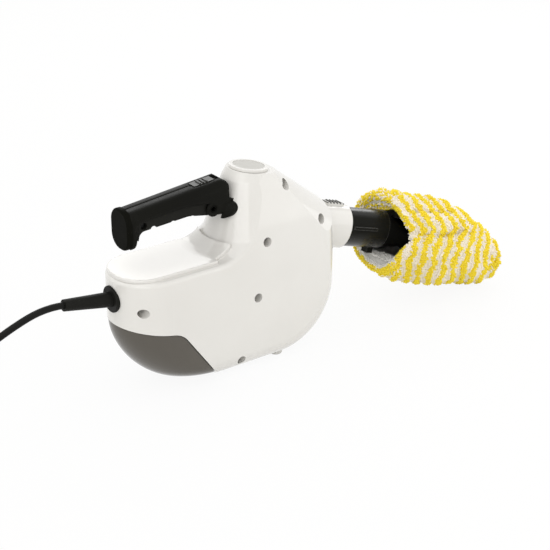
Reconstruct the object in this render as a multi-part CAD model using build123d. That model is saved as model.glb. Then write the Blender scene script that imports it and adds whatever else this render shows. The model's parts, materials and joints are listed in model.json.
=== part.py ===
"""Handheld steam cleaner: boiler body, open grip with trigger, hand nozzle with bonnet, mains lead."""
from build123d import *
import math
import os

# Body, in mm: +X is forward, +Y is left, +Z is up, and the floor is z = 0
HALF_W = 44.0            # half width between the flat sides
MIDDLE_X = 79.3          # half-way from the boot to the bonnet's tip, where the origin lies
BASE_Z = 3.0             # underside above the floor
LEDGE_Z = 130.0          # shoulder that carries the rear deck
WALL = 2.6               # housing wall
EDGE_R = 20.0            # rounding of the belly's edges
BELLY_X = 36.0           # centre of the round belly
BELLY_Z = 77.0
TAIL_X = -101.0          # upright axis of the round tail
TAIL_SWEEP_Z = 75.0      # below this the tail's underside runs in towards the belly
TAIL_RUN = 68.0          # how far it runs in
TAIL_BULGE = 1.7         # fullness of its curve
TAIL_STRETCH = 14.0      # the tail's rounding is this much longer at the bottom
BILGE_STEPS = 6          # sections round the bilge, and from there up to the sweep
SWEEP_STEPS = 5
JOIN_TOL = 0.02          # the lofted bilge meets the belly's true arc within this
BARREL_Z = 110.0         # the sides lean in above this height
BARREL_R = 260.0

# Column under the filler cap
AXIS_X = 21.0
COLUMN_TOP_R = 13.0
COLUMN_NECK_R = 27.5
COLUMN_NECK_Z = 202.0
COLUMN_NECK_FILLET = 14.0
COLUMN_FOOT_R = 52.7     # where the cone would meet the ledge
SHOULDER_R = 5.0         # soft edge round the ledge
COLUMN_FLARE_R = 30.0    # hollow sweep from the cone to the ledge
CAP_X = 22.0
CAP_Z = 209.0
CAP_TILT = 8.0
SHOULDER_X = 49.7        # front end of the cap's plane
SLOPE = 38.0             # front slope, degrees
SLOPE_R = 13.0
CROWN_R = 46.0           # cross-wise crown of the front slope

# Rear bumper, deck and feet
BUMPER_REAR_Z = 78.5
BUMPER_KNEE_X = -90.5
BUMPER_KNEE_Z = 67.5
BUMPER_FOOT_X = -42.8
BUMPER_KNEE_R = 24.0
BUMPER_SET = 1.0         # the bumper lies this much below the housings' face
BUMPER_SEAM = 0.8
SEAM = 0.4               # open seam between neighbouring mouldings
DECK_T = 3.4             # height of the raised deck
DECK_HALF_W = 36.0
DECK_REAR_X = -142.5
DECK_REAR_R = 33.0
DECK_STEP_X = -40.0      # the deck narrows here to its tongue
DECK_TONGUE_HALF_W = 30.0
DECK_TONGUE_R = 52.0     # the tongue's front edge, round the column
DECK_EDGE_R = 1.5
FOOT_FRONT_X = 38.5
FOOT_REAR_X = -58.0
FOOT_FRONT_Y = 25.0
FOOT_REAR_Y = 9.5
FOOT_R = 7.0
FOOT_EDGE_R = 1.6

# Housing screws: x and z of the six posts, and the boss sizes
SCREW_POSTS = [(48.5, 193.0), (88.0, 148.5), (16.0, 141.5), (3.0, 82.5), (-18.0, 15.5), (-128.5, 98.5)]
POST_R = 5.0
SCREW_WELL_R = 5.0       # well down to the screw's head, and its wall
SCREW_WELL_WALL = 1.6
SCREW_HEAD_R = 3.5
SCREW_SHANK_R = 1.7
SCREW_SEAT_Y = 8.0       # head seat, measured from the parting plane
SCREW_END_Y = 13.0
SCREW_HEAD_H = 2.4
FIT = 0.3                # clearance between parts that slide or drop in
SNUG = 0.06              # clearance of pins, shanks and seated pieces

# Filler cap and neck, measured along the cap's tilted axis
CAP_R = 20.5
CAP_H = 2.8
INLAY_R = 16.6
INLAY_H = 1.1
SKIRT_R = 13.0
SKIRT_L = 16.0
SKIRT_WALL = 2.6
NECK_WALL = 2.4
NECK_L = 20.0
SEAL_T = 1.6
PIPE_R = 9.5
PIPE_BORE_R = 7.5
PIPE_DROP = 14.0         # straight drop above the boiler
PIPE_ELBOW_R = 16.0
RELIEF_R = 5.0
RELIEF_L = 9.0

# Boiler: a drum lying across the belly
BOILER_X = 54.0
BOILER_Z = 78.0
BOILER_R = 37.5
BOILER_WALL = 3.0
BOILER_Y0 = -32.0        # closed end of the cup
BOILER_Y1 = 22.0         # joint face of the cup
FLANGE_R = 43.0
FLANGE_T = 4.0
GASKET_T = 0.8
LID_DISH = 3.4
BOLT_N = 6
BOLT_R = 1.3
BOLT_HEAD_R = 2.3
BOLT_HEAD_H = 2.2
NECK_BOSS_X = 46.0
VALVE_BOSS_X = 69.0
BOSS_TOP_Z = 121.0
BOSS_R = 10.0
HEATER_R = 3.3
HEATER_Y = -6.0
HEATER_SWEEP = 150.0
THERMOSTAT_R = 9.0
THERMOSTAT_H = 7.0
FUSE_L = 20.0
FUSE_H = 5.0
PAD_R = 4.0              # posts that hold the drum between the two housings
PAD_PCD_R = 29.0

# Steam valve
VALVE_W = 18.0
VALVE_H = 20.0
COIL_R = 8.8
COIL_H = 22.0
SPIGOT_R = 3.5
SPIGOT_REACH = 4.0
STEAM_PIPE_R = 4.4

# Nozzle collar and socket, along the nozzle's tilted axis
COLLAR_X = 146.0
COLLAR_Z = 112.5
NOZZLE_TILT = 17.0
COLLAR_A = 24.5          # half height of the oval
COLLAR_B = 19.0          # half width of the oval
COLLAR_WALL = 2.0
COLLAR_L = 52.0
COLLAR_RIM_R = 0.9
SOCKET_DEPTH = 9.0       # rim to the socket's face
SOCKET_L = 30.0
SOCKET_BORE_R = 10.2
SOCKET_WALL = 3.4
SOCKET_PLATE_T = 3.0
SOCKET_STUB_R = 5.0
SOCKET_STUB_L = 6.0
O_RING_T = 2.0
O_RING_SET = 5.0
BUTTON_L = 23.0
BUTTON_W = 11.0
BUTTON_SET = 9.0         # rim to the button's front
BUTTON_PROUD = 2.6
BUTTON_DEEP = 5.0
BUTTON_TRAVEL = 2.4
BUTTON_SPRING_R = 3.0
RIB_N = 4
RIB_W = 1.6
RIB_H = 1.0

# Hand nozzle and bonnet: the bonnet's stations are distance, drop, half width and half height
TUBE_A = 22.0
TUBE_B = 16.5
TUBE_WALL = 2.6
TUBE_IN = 5.0            # oval part inside the collar
TUBE_L = 58.0
SPIGOT_IN = 24.0
SPIGOT_BORE_R = 6.0
BAG = [
    (50, 0, 44, 38), (76, -5, 50, 44), (110, -9, 59, 46), (150, -9, 63, 45), (185, -14, 60, 41),
    (210, -20, 51, 31), (224, -26, 40, 18)]
BAG_T = 5.0
HEAD_GAP = 0.4
HEAD_T = 20.0
HEAD_WALL = 2.6
STEAM_HOLE_N = 5
STEAM_HOLE_STEP = 14.0
STEAM_HOLE_R = 2.0
HEAD_START = 80.0
HEAD_END = 208.0
NECK_OUT = 92.0
TUBE_RIB_L = 34.0
TUBE_RIB_H = 3.2
TUBE_RIB_PROUD = 1.0
HOOK_S = 43.0
HOOK_L = 9.0
HOOK_W = 9.0
HOOK_DROP = 6.0

# Handle
GRIP_HALF_W = 16.5
GRIP_WALL = 3.0
GRIP_TOP_REAR = (-127.0, 196.8)
GRIP_TOP_FRONT = (-13.0, 208.8)
GRIP_TOP_R = 10.0
GRIP_NOSE_R = 6.0
GRIP_ROOF = 4.5
GRIP_SEAM_Z = 191.2      # highest point of the grip's lower edge
GRIP_SEAM_DROP = 4.4
HOOK_X = -119.5
HOOK_BOTTOM_Z = 158.5
HOOK_LEAN = 4.0
CHANNEL_X0 = -121.0
CHANNEL_X1 = -17.0
PIVOT_X = -32.0
PIVOT_Z = 181.0
LUG_R = 8.0
PIVOT_R = 4.0
PIVOT_RECESS_R = 2.8
END_CAP_T = 5.5
END_CAP_Z = 178.2
END_CAP_H = 43.0
END_CAP_W = 33.4
END_CAP_CORNER = 15.0
END_CAP_EDGE_R = 2.2
TRIGGER_SWING = 3.2
TRIGGER_REAR_X = -120.2
TRIGGER_TOE = 3.4
TRIGGER_TOE_L = 8.5
TRIGGER_TOE_R = 7.0
TRIGGER_LIP_Z = 175.5
TRIGGER_TOP_Z = 187.5
GROOVE_R = 3.6
GROOVE_N = 3
GROOVE_STEP = 22.5
GROOVE_X = -56.0
TRIGGER_SCREW_X = -112.0
TRIGGER_SCREW_R = 3.4
TRIGGER_SCREW_DEEP = 6.0
SPRING_X = -100.0
SPRING_R = 3.6
SPRING_SEAT_Z = 183.0
SPRING_WIRE = 0.9
SWITCH_X = -72.0
SWITCH_L = 20.0
SWITCH_W = 10.0
SWITCH_H = 7.0
ROOT_HALF_W = 23.0
ROOT_Z = 176.5
ROOT_H = 17.0
ROOT_T = 5.5
ROOT_EDGE_R = 4.0
PLUG_HALF_W = 9.0
PLUG_HEAD_HALF_W = 11.5
PLUG_END_X = -2.0
PLUG_HEAD_T = 4.0
PLUG_H = 16.0
LOCK_X = -32.5
LOCK_L = 24.0
LOCK_W = 11.0
LOCK_POCKET = 31.0
LOCK_DEEP = 2.4
LOCK_PROUD = 0.5

# Mains lead, from the boot to the coil that lies behind the cleaner
CORD_D = 7.0
BOOT_Z = 106.5
BOOT_FLANGE_R = 14.0
BOOT_FLANGE_T = 2.0
BOOT_NECK_R = 8.0
BOOT_R0 = 8.0
BOOT_R1 = 6.0
BOOT_L = 54.0
BOOT_RISE = 9.0
CORD_LEAD = 20.0
CORD_ROUTE = [(-258, 0, 105.5), (-304, 0, 84), (-346, -1, 55), (-380, -4, 27), (-408, -10, 9)]
COIL_X = -472.0
COIL_Y = 42.0
COIL_OUTER_R = 56.0
COIL_TURNS = 3
COIL_LAYERS = 4
COIL_PITCH = 7.8
COIL_LAYER = 7.8
CORD_SIDES = 8
TIE_W = 12.0
TIE_T = 1.2
PLUG_R = 18.0
PLUG_L = 34.0
PLUG_NECK_R = 6.5
PLUG_NECK_L = 16.0
PIN_R = 2.4
PIN_L = 19.0
PIN_GAP = 19.0
CLAMP_X = -115.0
CLAMP_L = 12.0
CLAMP_W = 28.0
CLAMP_H = 12.0
SHELF_T = 5.0
TERMINAL_X = -76.0
TERMINAL_L = 24.0
TERMINAL_W = 22.0
TERMINAL_H = 13.0
TERMINAL_Z = 90.0
WIRE_R = 1.0
DUCT_Z = 182.5           # wire duct through the handle's root

CAP_A = math.radians(CAP_TILT)
TILT = math.radians(NOZZLE_TILT)
CAP = Plane(
    (CAP_X, 0, CAP_Z), x_dir=(math.cos(CAP_A), 0, -math.sin(CAP_A)),
    z_dir=(math.sin(CAP_A), 0, math.cos(CAP_A)))
NOZZLE = Plane((COLLAR_X, 0, COLLAR_Z), x_dir=(0, 1, 0), z_dir=(math.cos(TILT), 0, -math.sin(TILT)))
FRONT_X = BELLY_X + BELLY_Z - BASE_Z
TAIL_END_X = TAIL_X - HALF_W
HIGH_Z = CAP_Z + 20
REACH = 2 * (FRONT_X - TAIL_END_X)
RIGHT, LEFT = -1, 1


def across(x):
    """Upright plane square to the body's length, with its own x along +Y."""
    return Plane((x, 0, 0), x_dir=(0, 1, 0), z_dir=(1, 0, 0))


def bar(radius, start, direction, length):
    return extrude(Plane(start, z_dir=direction) * Circle(radius), length)


def block(x0, x1, y0, y1, z0, z1):
    return Pos((x0 + x1) / 2, (y0 + y1) / 2, (z0 + z1) / 2) * Box(x1 - x0, y1 - y0, z1 - z0)


def side_prism(edges, half_width):
    """A side-view outline in x and z, extruded both ways from the middle plane."""
    return extrude(Plane.XZ * make_face(edges), half_width, both=True)


def half(side):
    """Everything on one side of the parting plane."""
    return Pos(0, side * REACH / 2, 0) * Box(2 * REACH, REACH, 2 * REACH)


# Body shape

def lean(t, z):
    """Half width of the leaning sides at height z, inset by t."""
    return HALF_W - BARREL_R + math.sqrt((BARREL_R - t) ** 2 - (z - BARREL_Z) ** 2)


def upper_outline(t):
    """Left half of the hull's section above the sweep: upright side and leaning side."""
    mid_z = (BARREL_Z + HIGH_Z) / 2
    return [
        Line((0, TAIL_SWEEP_Z), (HALF_W - t, TAIL_SWEEP_Z)),
        Line((HALF_W - t, TAIL_SWEEP_Z), (HALF_W - t, BARREL_Z)),
        ThreePointArc((HALF_W - t, BARREL_Z), (lean(t, mid_z), mid_z), (lean(t, HIGH_Z), HIGH_Z)),
        Line((lean(t, HIGH_Z), HIGH_Z), (0, HIGH_Z)),
    ]


def plan_section(z, t):
    """Level section of the lower hull: straight sides with a half-oval tail that runs in lower down."""
    u = min(1.0, (TAIL_SWEEP_Z - z) / (TAIL_SWEEP_Z - BASE_Z - t))
    end_x = TAIL_END_X + t + (TAIL_RUN - t) * (1 - (1 - u ** TAIL_BULGE) ** (1 / TAIL_BULGE))
    long = HALF_W - t + TAIL_STRETCH * u
    drop = max(0.0, BASE_Z + EDGE_R - z)
    wide = HALF_W - EDGE_R + math.sqrt(max(0.0, (EDGE_R - t) ** 2 - drop ** 2))
    turn = (end_x + long, 0)
    return Pos(0, 0, z) * make_face([
        Line((AXIS_X, wide), (end_x + long, wide)),
        EllipticalCenterArc(turn, long, wide, start_angle=90, arc_size=90),
        EllipticalCenterArc(turn, long, wide, start_angle=180, arc_size=90),
        Line((end_x + long, -wide), (AXIS_X, -wide)),
        Line((AXIS_X, -wide), (AXIS_X, wide)),
    ])


def hull(t):
    """The body behind the column's axis, before the ledge and the column are cut from it."""
    bilge_z = BASE_Z + EDGE_R
    step = math.pi / 2 / BILGE_STEPS
    low = [bilge_z - (EDGE_R - t) * math.cos(i * step) for i in range(BILGE_STEPS + 1)]
    high = [bilge_z + (TAIL_SWEEP_Z - bilge_z) * i / SWEEP_STEPS for i in range(SWEEP_STEPS + 1)]
    bilge = loft([plan_section(z, t) for z in low])
    flank = loft([plan_section(z, t) for z in high])
    left = upper_outline(t)
    closed = left + [Line((0, HIGH_Z), (0, TAIL_SWEEP_Z))]
    tail = revolve(across(TAIL_X) * make_face(closed), Axis((TAIL_X, 0, 0), (0, 0, 1)), 180)
    both = left + [edge.mirror(Plane.YZ) for edge in left]
    waist = extrude(across(TAIL_X) * make_face(both), AXIS_X - TAIL_X)
    return bilge + flank + tail + waist


def barrel(t):
    """Front-view outline of the flat sides, open below, from the column's axis forward."""
    mid_z = (BARREL_Z + HIGH_Z) / 2
    low_z = BASE_Z - HALF_W
    left = [
        Line((0, low_z), (HALF_W - t, low_z)),
        Line((HALF_W - t, low_z), (HALF_W - t, BARREL_Z)),
        ThreePointArc((HALF_W - t, BARREL_Z), (lean(t, mid_z), mid_z), (lean(t, HIGH_Z), HIGH_Z)),
        Line((lean(t, HIGH_Z), HIGH_Z), (0, HIGH_Z)),
    ]
    return extrude(across(AXIS_X) * make_face(left + [edge.mirror(Plane.YZ) for edge in left]), REACH)


def column_region(t):
    """All that lies under the ledge or inside the flared column, turned about the column's axis."""
    spare = abs(t) + 1
    flank = FilletPolyline(
        (REACH + spare, LEDGE_Z), (COLUMN_FOOT_R, LEDGE_Z), (COLUMN_NECK_R, COLUMN_NECK_Z),
        (COLUMN_TOP_R, HIGH_Z),
        radius=[COLUMN_FLARE_R, COLUMN_NECK_FILLET])
    rest = Polyline(
        (COLUMN_TOP_R, HIGH_Z), (-spare, HIGH_Z), (-spare, -REACH), (REACH + spare, -REACH),
        (REACH + spare, LEDGE_Z))
    face = make_face([*flank.edges(), *rest.edges()])
    if t:
        face = offset(face, -t, kind=Kind.INTERSECTION)
    face = face & Pos(REACH / 2, 0) * Rectangle(REACH, 3 * REACH)
    spin = Plane((AXIS_X, 0, 0), x_dir=(-1, 0, 0), z_dir=(0, 1, 0))
    return revolve(spin * face, Axis((AXIS_X, 0, 0), (0, 0, 1)), 360)


def slope_z(x):
    """Height of the front slope's ridge."""
    shoulder = CAP_Z - (SHOULDER_X - CAP_X) * math.tan(CAP_A)
    return shoulder - (x - SHOULDER_X) * math.tan(math.radians(SLOPE))


def front_block(t):
    """The belly ahead of the column's axis, with rounded edges and a crowned front slope."""
    r = BELLY_Z - BASE_Z
    x0 = AXIS_X - t
    z0 = CAP_Z - (x0 - CAP_X) * math.tan(CAP_A)
    turn = (BELLY_X + r * math.sin(math.pi / 4), BELLY_Z - r * math.cos(math.pi / 4))
    ridge = FilletPolyline(
        (FRONT_X, slope_z(FRONT_X)), (SHOULDER_X, slope_z(SHOULDER_X)), (x0, z0), radius=SLOPE_R)
    face = make_face([
        Line((x0, BASE_Z), (BELLY_X, BASE_Z)),
        ThreePointArc((BELLY_X, BASE_Z), turn, (FRONT_X, BELLY_Z)),
        Line((FRONT_X, BELLY_Z), (FRONT_X, slope_z(FRONT_X))),
        *ridge.edges(),
        Line((x0, z0), (x0, BASE_Z)),
    ])
    if t:
        face = offset(face, -t)
    solid = extrude(Plane.XZ * face, REACH, both=True) & barrel(t)
    rim = [
        e for e in solid.edges()
        if abs(e.center().Y) > HALF_W / 2 and e.length > 5 and e.center().X > AXIS_X + 1]
    rim = [e for e in rim if e.center().Z < BELLY_Z or e.center().X > FRONT_X - t - 1]
    solid = fillet(rim, EDGE_R - t)
    return solid & crown(t)


def crown(t):
    """Arched roof along the front slope, open below."""
    angle = math.radians(SLOPE)
    start = Vector(SHOULDER_X, 0, slope_z(SHOULDER_X)) - Vector(
        math.cos(angle), 0, -math.sin(angle)) * REACH / 4
    plane = Plane(start, x_dir=(0, 1, 0), z_dir=(math.cos(angle), 0, -math.sin(angle)))
    arch = Pos(0, -CROWN_R) * Circle(CROWN_R - t)
    below = Pos(0, -CROWN_R - REACH / 2) * Rectangle(2 * (CROWN_R - t), REACH)
    return extrude(plane * (arch + below), REACH)


def soften_shoulder(rear):
    """Round the edge between the ledge and the sides, up to the column's flare."""
    rim = [e for e in rear.edges() if e.center().X < TAIL_X and abs(e.center().Z - LEDGE_Z) < 0.01]
    return fillet(rim, SHOULDER_R)


def envelope(t):
    """The closed outer form of the body, inset by t."""
    rear = hull(t) & column_region(t)
    if not t:
        rear = soften_shoulder(rear)
    above_cap = CAP.offset(-t) * Pos(0, 0, REACH / 2) * Box(REACH, REACH, REACH)
    body = rear.fuse(front_block(t), tol=JOIN_TOL).clean()
    return body - above_cap


def collar_oval(inset, z0, z1):
    return extrude(NOZZLE.offset(z0) * Ellipse(COLLAR_B - inset, COLLAR_A - inset), z1 - z0)


def bumper_region(grow):
    """Side-view area of the grey rear bumper, grown by a seam."""
    slope = (BUMPER_REAR_Z - BUMPER_KNEE_Z) / (BUMPER_KNEE_X - TAIL_END_X)
    far_x = TAIL_END_X - 40
    far_z = BUMPER_REAR_Z + slope * 40
    foot_run = (BUMPER_FOOT_X - BUMPER_KNEE_X) / BUMPER_KNEE_Z
    low_z = -30.0
    edge = FilletPolyline(
        (far_x, far_z), (BUMPER_KNEE_X, BUMPER_KNEE_Z), (BUMPER_FOOT_X - foot_run * low_z, low_z),
        radius=BUMPER_KNEE_R)
    close = Polyline((BUMPER_FOOT_X - foot_run * low_z, low_z), (far_x, low_z), (far_x, far_z))
    face = make_face([*edge.edges(), *close.edges()])
    if grow:
        face = offset(face, grow)
    return extrude(Plane.XZ * face, 2 * HALF_W, both=True)


def pad_points():
    """Places round the drum's axis where the housings' posts hold it."""
    for i in range(4):
        a = math.radians(45 + 90 * i)
        yield BOILER_X + PAD_PCD_R * math.cos(a), BOILER_Z + PAD_PCD_R * math.sin(a)


def lid_top():
    return BOILER_Y1 + GASKET_T + FLANGE_T + LID_DISH


def inner_posts():
    """Screw posts, drum posts and shelves, before they are trimmed to the body."""
    posts = []
    for x, z in SCREW_POSTS:
        posts.append(bar(POST_R, (x, -REACH / 2, z), (0, 1, 0), REACH))
        well_r = SCREW_WELL_R + SCREW_WELL_WALL
        posts.append(
            bar(well_r, (x, -REACH / 2, z), (0, 1, 0), REACH / 2 - SCREW_SEAT_Y + SCREW_WELL_WALL))
    for x, z in pad_points():
        posts.append(bar(PAD_R, (x, -REACH / 2, z), (0, 1, 0), REACH / 2 + BOILER_Y0 - SNUG))
        posts.append(bar(PAD_R, (x, lid_top() + SNUG, z), (0, 1, 0), REACH))
    posts.append(block(TERMINAL_X - 8, TERMINAL_X + 8, -REACH, REACH, TERMINAL_Z - SHELF_T, TERMINAL_Z))
    clamp_z = BOOT_Z - CORD_D / 2 - SNUG
    posts.append(
        block(CLAMP_X - CLAMP_L / 2, CLAMP_X + CLAMP_L / 2, -REACH, REACH, clamp_z - SHELF_T, clamp_z))
    return Compound(posts)


def screw_holes():
    holes = []
    for x, z in SCREW_POSTS:
        holes.append(bar(SCREW_WELL_R, (x, -REACH, z), (0, 1, 0), REACH - SCREW_SEAT_Y))
        holes.append(
            bar(SCREW_SHANK_R + SNUG, (x, -SCREW_SEAT_Y - 1, z), (0, 1, 0), SCREW_SEAT_Y + SCREW_END_Y + 2))
    return Compound(holes)


def clamp_top():
    return BOOT_Z - CORD_D / 2 - SNUG + CLAMP_H


def clamp_holes():
    z0 = clamp_top() - CLAMP_H - 2 * SHELF_T
    holes = [
        bar(SCREW_SHANK_R + SNUG, (CLAMP_X, side * CLAMP_W / 3, z0), (0, 0, 1), 3 * SHELF_T + CLAMP_H)
        for side in (RIGHT, LEFT)]
    return Compound(holes)


def handle_plug(grow):
    """Tongue of the handle's root, with a wider head inside the column."""
    z0 = ROOT_Z - PLUG_H / 2 - grow
    z1 = z0 + PLUG_H + 2 * grow
    neck = block(
        CHANNEL_X1, PLUG_END_X - PLUG_HEAD_T + 1, -PLUG_HALF_W - grow, PLUG_HALF_W + grow, z0, z1)
    head = block(
        PLUG_END_X - PLUG_HEAD_T, PLUG_END_X, -PLUG_HEAD_HALF_W, PLUG_HEAD_HALF_W, z0 + grow, z1 - grow)
    return neck, head


def button_slot():
    w = BUTTON_W / 2 + FIT
    z0 = -BUTTON_SET - BUTTON_L - FIT
    return NOZZLE * Pos(0, COLLAR_A, z0 + BUTTON_L / 2 + FIT) * Box(2 * w, 16, BUTTON_L + 2 * FIT)


def housings():
    """Two half shells and the bumper, cut from one body form."""
    outer = envelope(0)
    rim = collar_oval(0, -COLLAR_L, 0).faces().sort_by(Axis(NOZZLE.origin, NOZZLE.z_dir))[-1]
    solid = outer + fillet(rim.edges(), COLLAR_RIM_R)
    shell = solid - envelope(WALL) - collar_oval(COLLAR_WALL, -COLLAR_L + 1, 1)
    shell = shell + (inner_posts() & outer)
    shell = shell - screw_holes() - clamp_holes() - handle_plug(FIT)[0] - button_slot()
    shell = shell - bar(BOOT_NECK_R + FIT, (TAIL_END_X - 20, 0, BOOT_Z), (1, 0, 0), 40)
    shell = shell - CAP.offset(-NECK_L) * Pos(0, 0, NECK_L) * Cylinder(
        SKIRT_R + FIT + NECK_WALL + FIT, 2 * NECK_L)
    shell = shell - bumper_region(BUMPER_SEAM)
    bumper_form = hull(BUMPER_SET)
    bumper = (bumper_form - hull(BUMPER_SET + WALL)) & bumper_region(0)
    parts = {
        "right_housing": shell & half(RIGHT), "left_housing": shell & half(LEFT), "rear_bumper": bumper}
    return parts, outer, bumper_form


def housing_screws():
    screws = []
    for x, z in SCREW_POSTS:
        shank = bar(SCREW_SHANK_R, (x, -SCREW_SEAT_Y, z), (0, 1, 0), SCREW_SEAT_Y + SCREW_END_Y)
        head = bar(SCREW_HEAD_R, (x, -SCREW_SEAT_Y - SCREW_HEAD_H, z), (0, 1, 0), SCREW_HEAD_H)
        recess = bar(SCREW_SHANK_R, (x, -SCREW_SEAT_Y - SCREW_HEAD_H, z), (0, 1, 0), SCREW_HEAD_H / 2)
        screws.append(head + shank - recess)
    return Compound(screws)


def rear_deck():
    """Raised panel behind the column, whose front tongue climbs the column's flare."""
    front = AXIS_X
    points = [
        (DECK_STEP_X, DECK_HALF_W), (DECK_REAR_X, DECK_HALF_W), (DECK_REAR_X, -DECK_HALF_W),
        (DECK_STEP_X, -DECK_HALF_W),
        (DECK_STEP_X, -DECK_TONGUE_HALF_W), (front, -DECK_TONGUE_HALF_W), (front, DECK_TONGUE_HALF_W),
        (DECK_STEP_X, DECK_TONGUE_HALF_W)]
    radii = [2.0, DECK_REAR_R, DECK_REAR_R, 2.0, 2.0, 2.0, 2.0, 2.0]
    plan = make_face(FilletPolyline(*points, radius=radii, close=True).edges())
    prism = extrude(Pos(0, 0, LEDGE_Z - 1) * plan, 30) - bar(
        DECK_TONGUE_R, (AXIS_X, 0, 0), (0, 0, 1), REACH)
    deck = (prism & column_region(-DECK_T)) - column_region(-SNUG)
    top = [
        f for f in deck.faces() if abs(f.center().Z - LEDGE_Z - DECK_T) < 0.01 and f.normal_at().Z > 0.99]
    rim = [e for e in top[0].edges() if e.center().X < DECK_STEP_X + 1]
    return fillet(rim, DECK_EDGE_R)


def feet(belly, bumper_form):
    """Round pads: two under the belly and two under the bumper, each fitted to the form above it."""
    profile = FilletPolyline((0, 0), (FOOT_R, 0), (FOOT_R, 2 * BASE_Z), radius=FOOT_EDGE_R)
    close = Polyline((FOOT_R, 2 * BASE_Z), (0, 2 * BASE_Z), (0, 0))
    pad = revolve(Plane.XZ * make_face([*profile.edges(), *close.edges()]), Axis.Z)
    pads = []
    for x, y, above in [(FOOT_FRONT_X, FOOT_FRONT_Y, belly), (FOOT_REAR_X, FOOT_REAR_Y, bumper_form)]:
        for side in (RIGHT, LEFT):
            pads.append(Pos(x, side * y, 0) * pad - Pos(0, 0, -SNUG) * above)
    return Compound(pads)


def filler_cap():
    """Turn cap with a raised rim, a recess for its inlay and a hollow skirt."""
    cap = Pos(0, 0, FIT) * Cylinder(CAP_R, CAP_H, align=(Align.CENTER, Align.CENTER, Align.MIN))
    cap = fillet(cap.edges().group_by(Axis.Z)[-1], CAP_H / 3)
    cap -= Pos(0, 0, FIT + CAP_H - INLAY_H) * Cylinder(
        INLAY_R + SNUG, INLAY_H, align=(Align.CENTER, Align.CENTER, Align.MIN))
    skirt = Pos(0, 0, FIT) * Cylinder(SKIRT_R, SKIRT_L, align=(Align.CENTER, Align.CENTER, Align.MAX))
    skirt -= Pos(0, 0, FIT) * Cylinder(
        SKIRT_R - SKIRT_WALL, SKIRT_L, align=(Align.CENTER, Align.CENTER, Align.MAX))
    return CAP * (cap + skirt)


def cap_inlay():
    disc = Pos(0, 0, FIT + CAP_H - INLAY_H) * Cylinder(
        INLAY_R, INLAY_H - 0.3, align=(Align.CENTER, Align.CENTER, Align.MIN))
    return CAP * disc


def relief_valve():
    """Pressure relief plug inside the cap's skirt, with a narrow stem below."""
    body = Pos(0, 0, FIT) * Cylinder(RELIEF_R, RELIEF_L, align=(Align.CENTER, Align.CENTER, Align.MAX))
    stem = Pos(0, 0, FIT - RELIEF_L) * Cylinder(
        RELIEF_R / 2, RELIEF_L / 2, align=(Align.CENTER, Align.CENTER, Align.MAX))
    return CAP * (body + stem)


def cap_seal():
    ring = Cylinder(SKIRT_R + NECK_WALL, SEAL_T, align=(Align.CENTER, Align.CENTER, Align.MAX))
    return CAP * (ring - Cylinder(SKIRT_R + SNUG, 4 * SEAL_T))


def neck_route():
    """Middle line of the filler pipe, from the cup's floor to the boiler's boss."""
    start = CAP.from_local_coords(Vector(0, 0, -NECK_L))
    below = CAP.from_local_coords(Vector(0, 0, -NECK_L - PIPE_ELBOW_R))
    end = Vector(NECK_BOSS_X, 0, BOSS_TOP_Z)
    return FilletPolyline(
        start, below, end + Vector(0, 0, PIPE_DROP + PIPE_ELBOW_R / 2), end, radius=PIPE_ELBOW_R)


def filler_neck():
    """Cup under the cap and the bent pipe that leads down to the boiler."""
    cup = Pos(0, 0, -SEAL_T) * Cylinder(
        SKIRT_R + FIT + NECK_WALL, NECK_L - SEAL_T, align=(Align.CENTER, Align.CENTER, Align.MAX))
    route = neck_route()
    start = Plane(route @ 0, z_dir=route % 0)
    pipe = sweep(start * Circle(PIPE_R), route)
    bore = sweep(start * Circle(PIPE_BORE_R), route)
    well = Pos(0, 0, 1) * Cylinder(
        SKIRT_R + FIT, NECK_L + 1 - NECK_WALL, align=(Align.CENTER, Align.CENTER, Align.MAX))
    hole = Pos(0, 0, -NECK_L) * Cylinder(PIPE_BORE_R, 4 * NECK_WALL)
    return CAP * cup + pipe - bore - CAP * well - CAP * hole


# Boiler

def drum(radius, y0, y1):
    return bar(radius, (BOILER_X, y0, BOILER_Z), (0, 1, 0), y1 - y0)


def bolt_points():
    for i in range(BOLT_N):
        a = math.radians(30 + 360 / BOLT_N * i)
        r = (FLANGE_R + BOILER_R) / 2
        yield BOILER_X + r * math.cos(a), BOILER_Z + r * math.sin(a)


def bolt_holes():
    return Compound([bar(BOLT_R + SNUG, (x, BOILER_Y1 - 20, z), (0, 1, 0), 40) for x, z in bolt_points()])


def boiler_cup():
    cup = drum(BOILER_R, BOILER_Y0, BOILER_Y1) + drum(FLANGE_R, BOILER_Y1 - FLANGE_T, BOILER_Y1)
    for x in (NECK_BOSS_X, VALVE_BOSS_X):
        cup += bar(BOSS_R, (x, 0, BOILER_Z), (0, 0, 1), BOSS_TOP_Z - BOILER_Z)
    cup -= drum(BOILER_R - BOILER_WALL, BOILER_Y0 + BOILER_WALL, BOILER_Y1 + 1)
    cup -= bar(PIPE_BORE_R, (NECK_BOSS_X, 0, BOILER_Z), (0, 0, 1), BOILER_R * 2)
    cup -= bar(SPIGOT_R, (VALVE_BOSS_X, 0, BOILER_Z), (0, 0, 1), BOILER_R * 2)
    return cup - bolt_holes()


def boiler_gasket():
    y1 = BOILER_Y1 + GASKET_T
    return drum(FLANGE_R, BOILER_Y1, y1) - drum(BOILER_R - BOILER_WALL, BOILER_Y1, y1) - bolt_holes()


def boiler_lid():
    y0 = BOILER_Y1 + GASKET_T
    lid = drum(FLANGE_R, y0, y0 + FLANGE_T) + drum(BOILER_R - 2, y0, lid_top())
    return lid - drum(BOILER_R - 2 - BOILER_WALL, y0, lid_top() - BOILER_WALL) - bolt_holes()


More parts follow.
